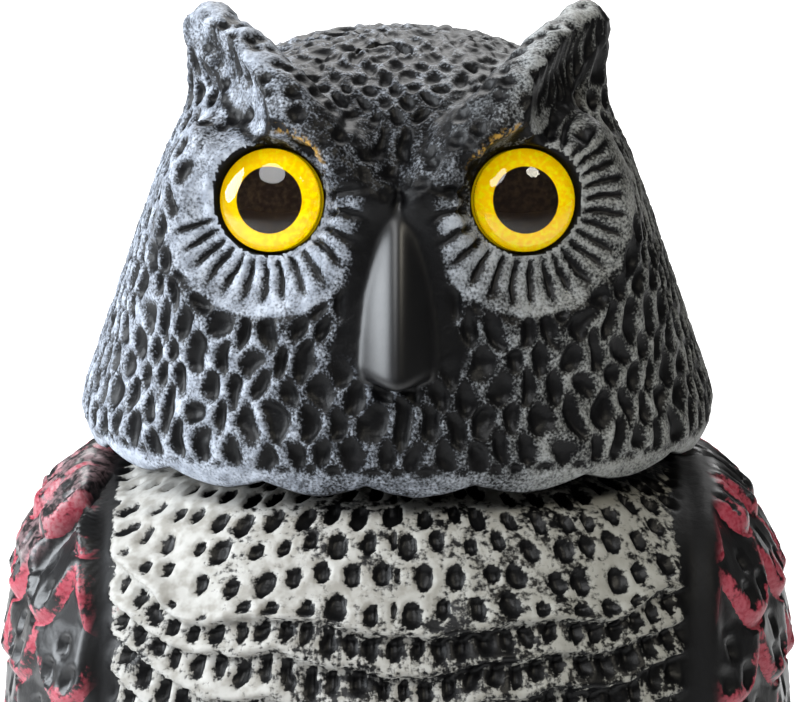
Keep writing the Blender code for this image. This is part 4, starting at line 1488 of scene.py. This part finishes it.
class BuildEyes(bpy.types.Operator):
    """Builds each eye as a clear dome over a painted disc"""

    bl_idname = "decoy.build_eyes"
    bl_label = "Build Eyes"

    def execute(self, context):
        rise = context.scene.decoy_sizes.lens_rise
        clear, painted = clear_lens(), iris_paint(context.scene.decoy_paint)
        seat = -SOCKET_DEPTH + EYE_GAP
        edge = seat + EYE_RIM_HEIGHT
        bends = np.radians(np.linspace(0, 86, 18))
        dome = [(EYE_RADIUS * math.cos(a), edge + rise * math.sin(a)) for a in bends]
        disc_z = edge - IRIS_SINK
        disc_radius = EYE_RADIUS - IRIS_INSET
        shares = np.linspace(1, 0.04, 22)
        disc = [(disc_radius, disc_z - IRIS_THICKNESS)]
        disc += [(disc_radius * share, disc_z) for share in shares]
        for side, name in ((-1, "left"), (1, "right")):
            mesh = turned(f"{name}_eye_lens", [(EYE_RADIUS, seat), *dome], LENS_SIDES)
            set_in_face(mesh, side)
            mesh.materials.append(clear)
            lens = new_object(mesh.name, mesh)
            finish_piece(lens, "head", "eye_plastic", f"{name}_eye")
            mesh.set_sharp_from_angle(angle=SHARP_ANGLE)
            mesh = turned(f"{name}_eye_iris", disc, LENS_SIDES)
            places = places_of(mesh)
            keep(mesh, "spread", np.hypot(places[:, 0], places[:, 1]) / disc_radius)
            set_in_face(mesh, side)
            mesh.materials.append(painted)
            iris = new_object(mesh.name, mesh)
            finish_piece(iris, "head", "eye_plastic", f"{name}_eye")
            mesh.set_sharp_from_angle(angle=SHARP_ANGLE)
        return {"FINISHED"}


class SetStage(bpy.types.Operator):
    """Adds the floor, the studio light and the camera"""

    bl_idname = "decoy.set_stage"
    bl_label = "Set Stage"

    def execute(self, context):
        scene = context.scene
        bpy.ops.mesh.primitive_plane_add(size=16)
        floor = context.active_object
        floor.name = "studio_floor"
        floor.location.z = -0.0002
        g = Finish("floor paint", Roughness=0.9)
        tone = g.noise(3)
        g.feed("Base Color", g.mixed(tone, (0.86, 0.86, 0.86, 1), (0.88, 0.88, 0.88, 1)))
        floor.data.materials.append(g.material)
        for lamp in LAMPS:
            self.hang(*lamp)
        world = bpy.data.worlds.new("studio_air")
        world.use_nodes = True
        world.node_tree.nodes["Background"].inputs["Color"].default_value = (1, 1, 1, 1)
        world.node_tree.nodes["Background"].inputs["Strength"].default_value = AIR_LIGHT
        scene.world = world
        scene.view_settings.view_transform = "Standard"
        camera = bpy.data.cameras.new("photo_camera")
        camera.sensor_width = SENSOR_WIDTH
        camera.lens = SENSOR_WIDTH * CAMERA_DISTANCE / WIDTH_IN_VIEW
        camera.clip_start = 0.01
        holder = bpy.data.objects.new("photo_camera", camera)
        scene.collection.objects.link(holder)
        back = Vector((0, -math.cos(CAMERA_TILT), math.sin(CAMERA_TILT)))
        holder.location = Vector(CAMERA_TARGET) + back * CAMERA_DISTANCE
        holder.rotation_euler = (-back).to_track_quat("-Z", "Y").to_euler()
        scene.camera = holder
        return {"FINISHED"}

    def hang(self, name, place, target, size, power, colour):
        """Adds a round soft light at a place, aimed at its target."""
        light = bpy.data.lights.new(name, "AREA")
        light.shape = "DISK"
        light.size = size
        light.energy = power
        light.color = colour
        holder = bpy.data.objects.new(name, light)
        bpy.context.scene.collection.objects.link(holder)
        holder.location = place
        aim = Vector(target) - Vector(place)
        holder.rotation_euler = aim.to_track_quat("-Z", "Y").to_euler()


class DecoyPanel(bpy.types.Panel):
    """Lists the owl's sizes, colours and steps"""

    bl_idname = "DECOY_PT_panel"
    bl_label = "Owl Decoy"
    bl_space_type = "VIEW_3D"
    bl_region_type = "UI"
    bl_category = "Owl Decoy"

    def draw(self, context):
        layout = self.layout
        for group in (context.scene.decoy_sizes, context.scene.decoy_paint):
            box = layout.box()
            for name in group.__annotations__:
                box.prop(group, name)
        for operator in OPERATORS:
            layout.operator(operator.bl_idname)


OPERATORS = (BuildHead, BuildBody, BuildBase, BuildEyes, SetStage)
CLASSES = (DecoySizes, DecoyPaint, *OPERATORS, DecoyPanel)


def register():
    for made in CLASSES:
        bpy.utils.register_class(made)
    bpy.types.Scene.decoy_sizes = bpy.props.PointerProperty(type=DecoySizes)
    bpy.types.Scene.decoy_paint = bpy.props.PointerProperty(type=DecoyPaint)


def unregister():
    del bpy.types.Scene.decoy_paint
    del bpy.types.Scene.decoy_sizes
    for made in reversed(CLASSES):
        bpy.utils.unregister_class(made)


def main():
    register()
    bpy.ops.decoy.build_head()
    bpy.ops.decoy.build_body()
    bpy.ops.decoy.build_base()
    bpy.ops.decoy.build_eyes()
    bpy.ops.decoy.set_stage()


if __name__ == "__main__":
    main()
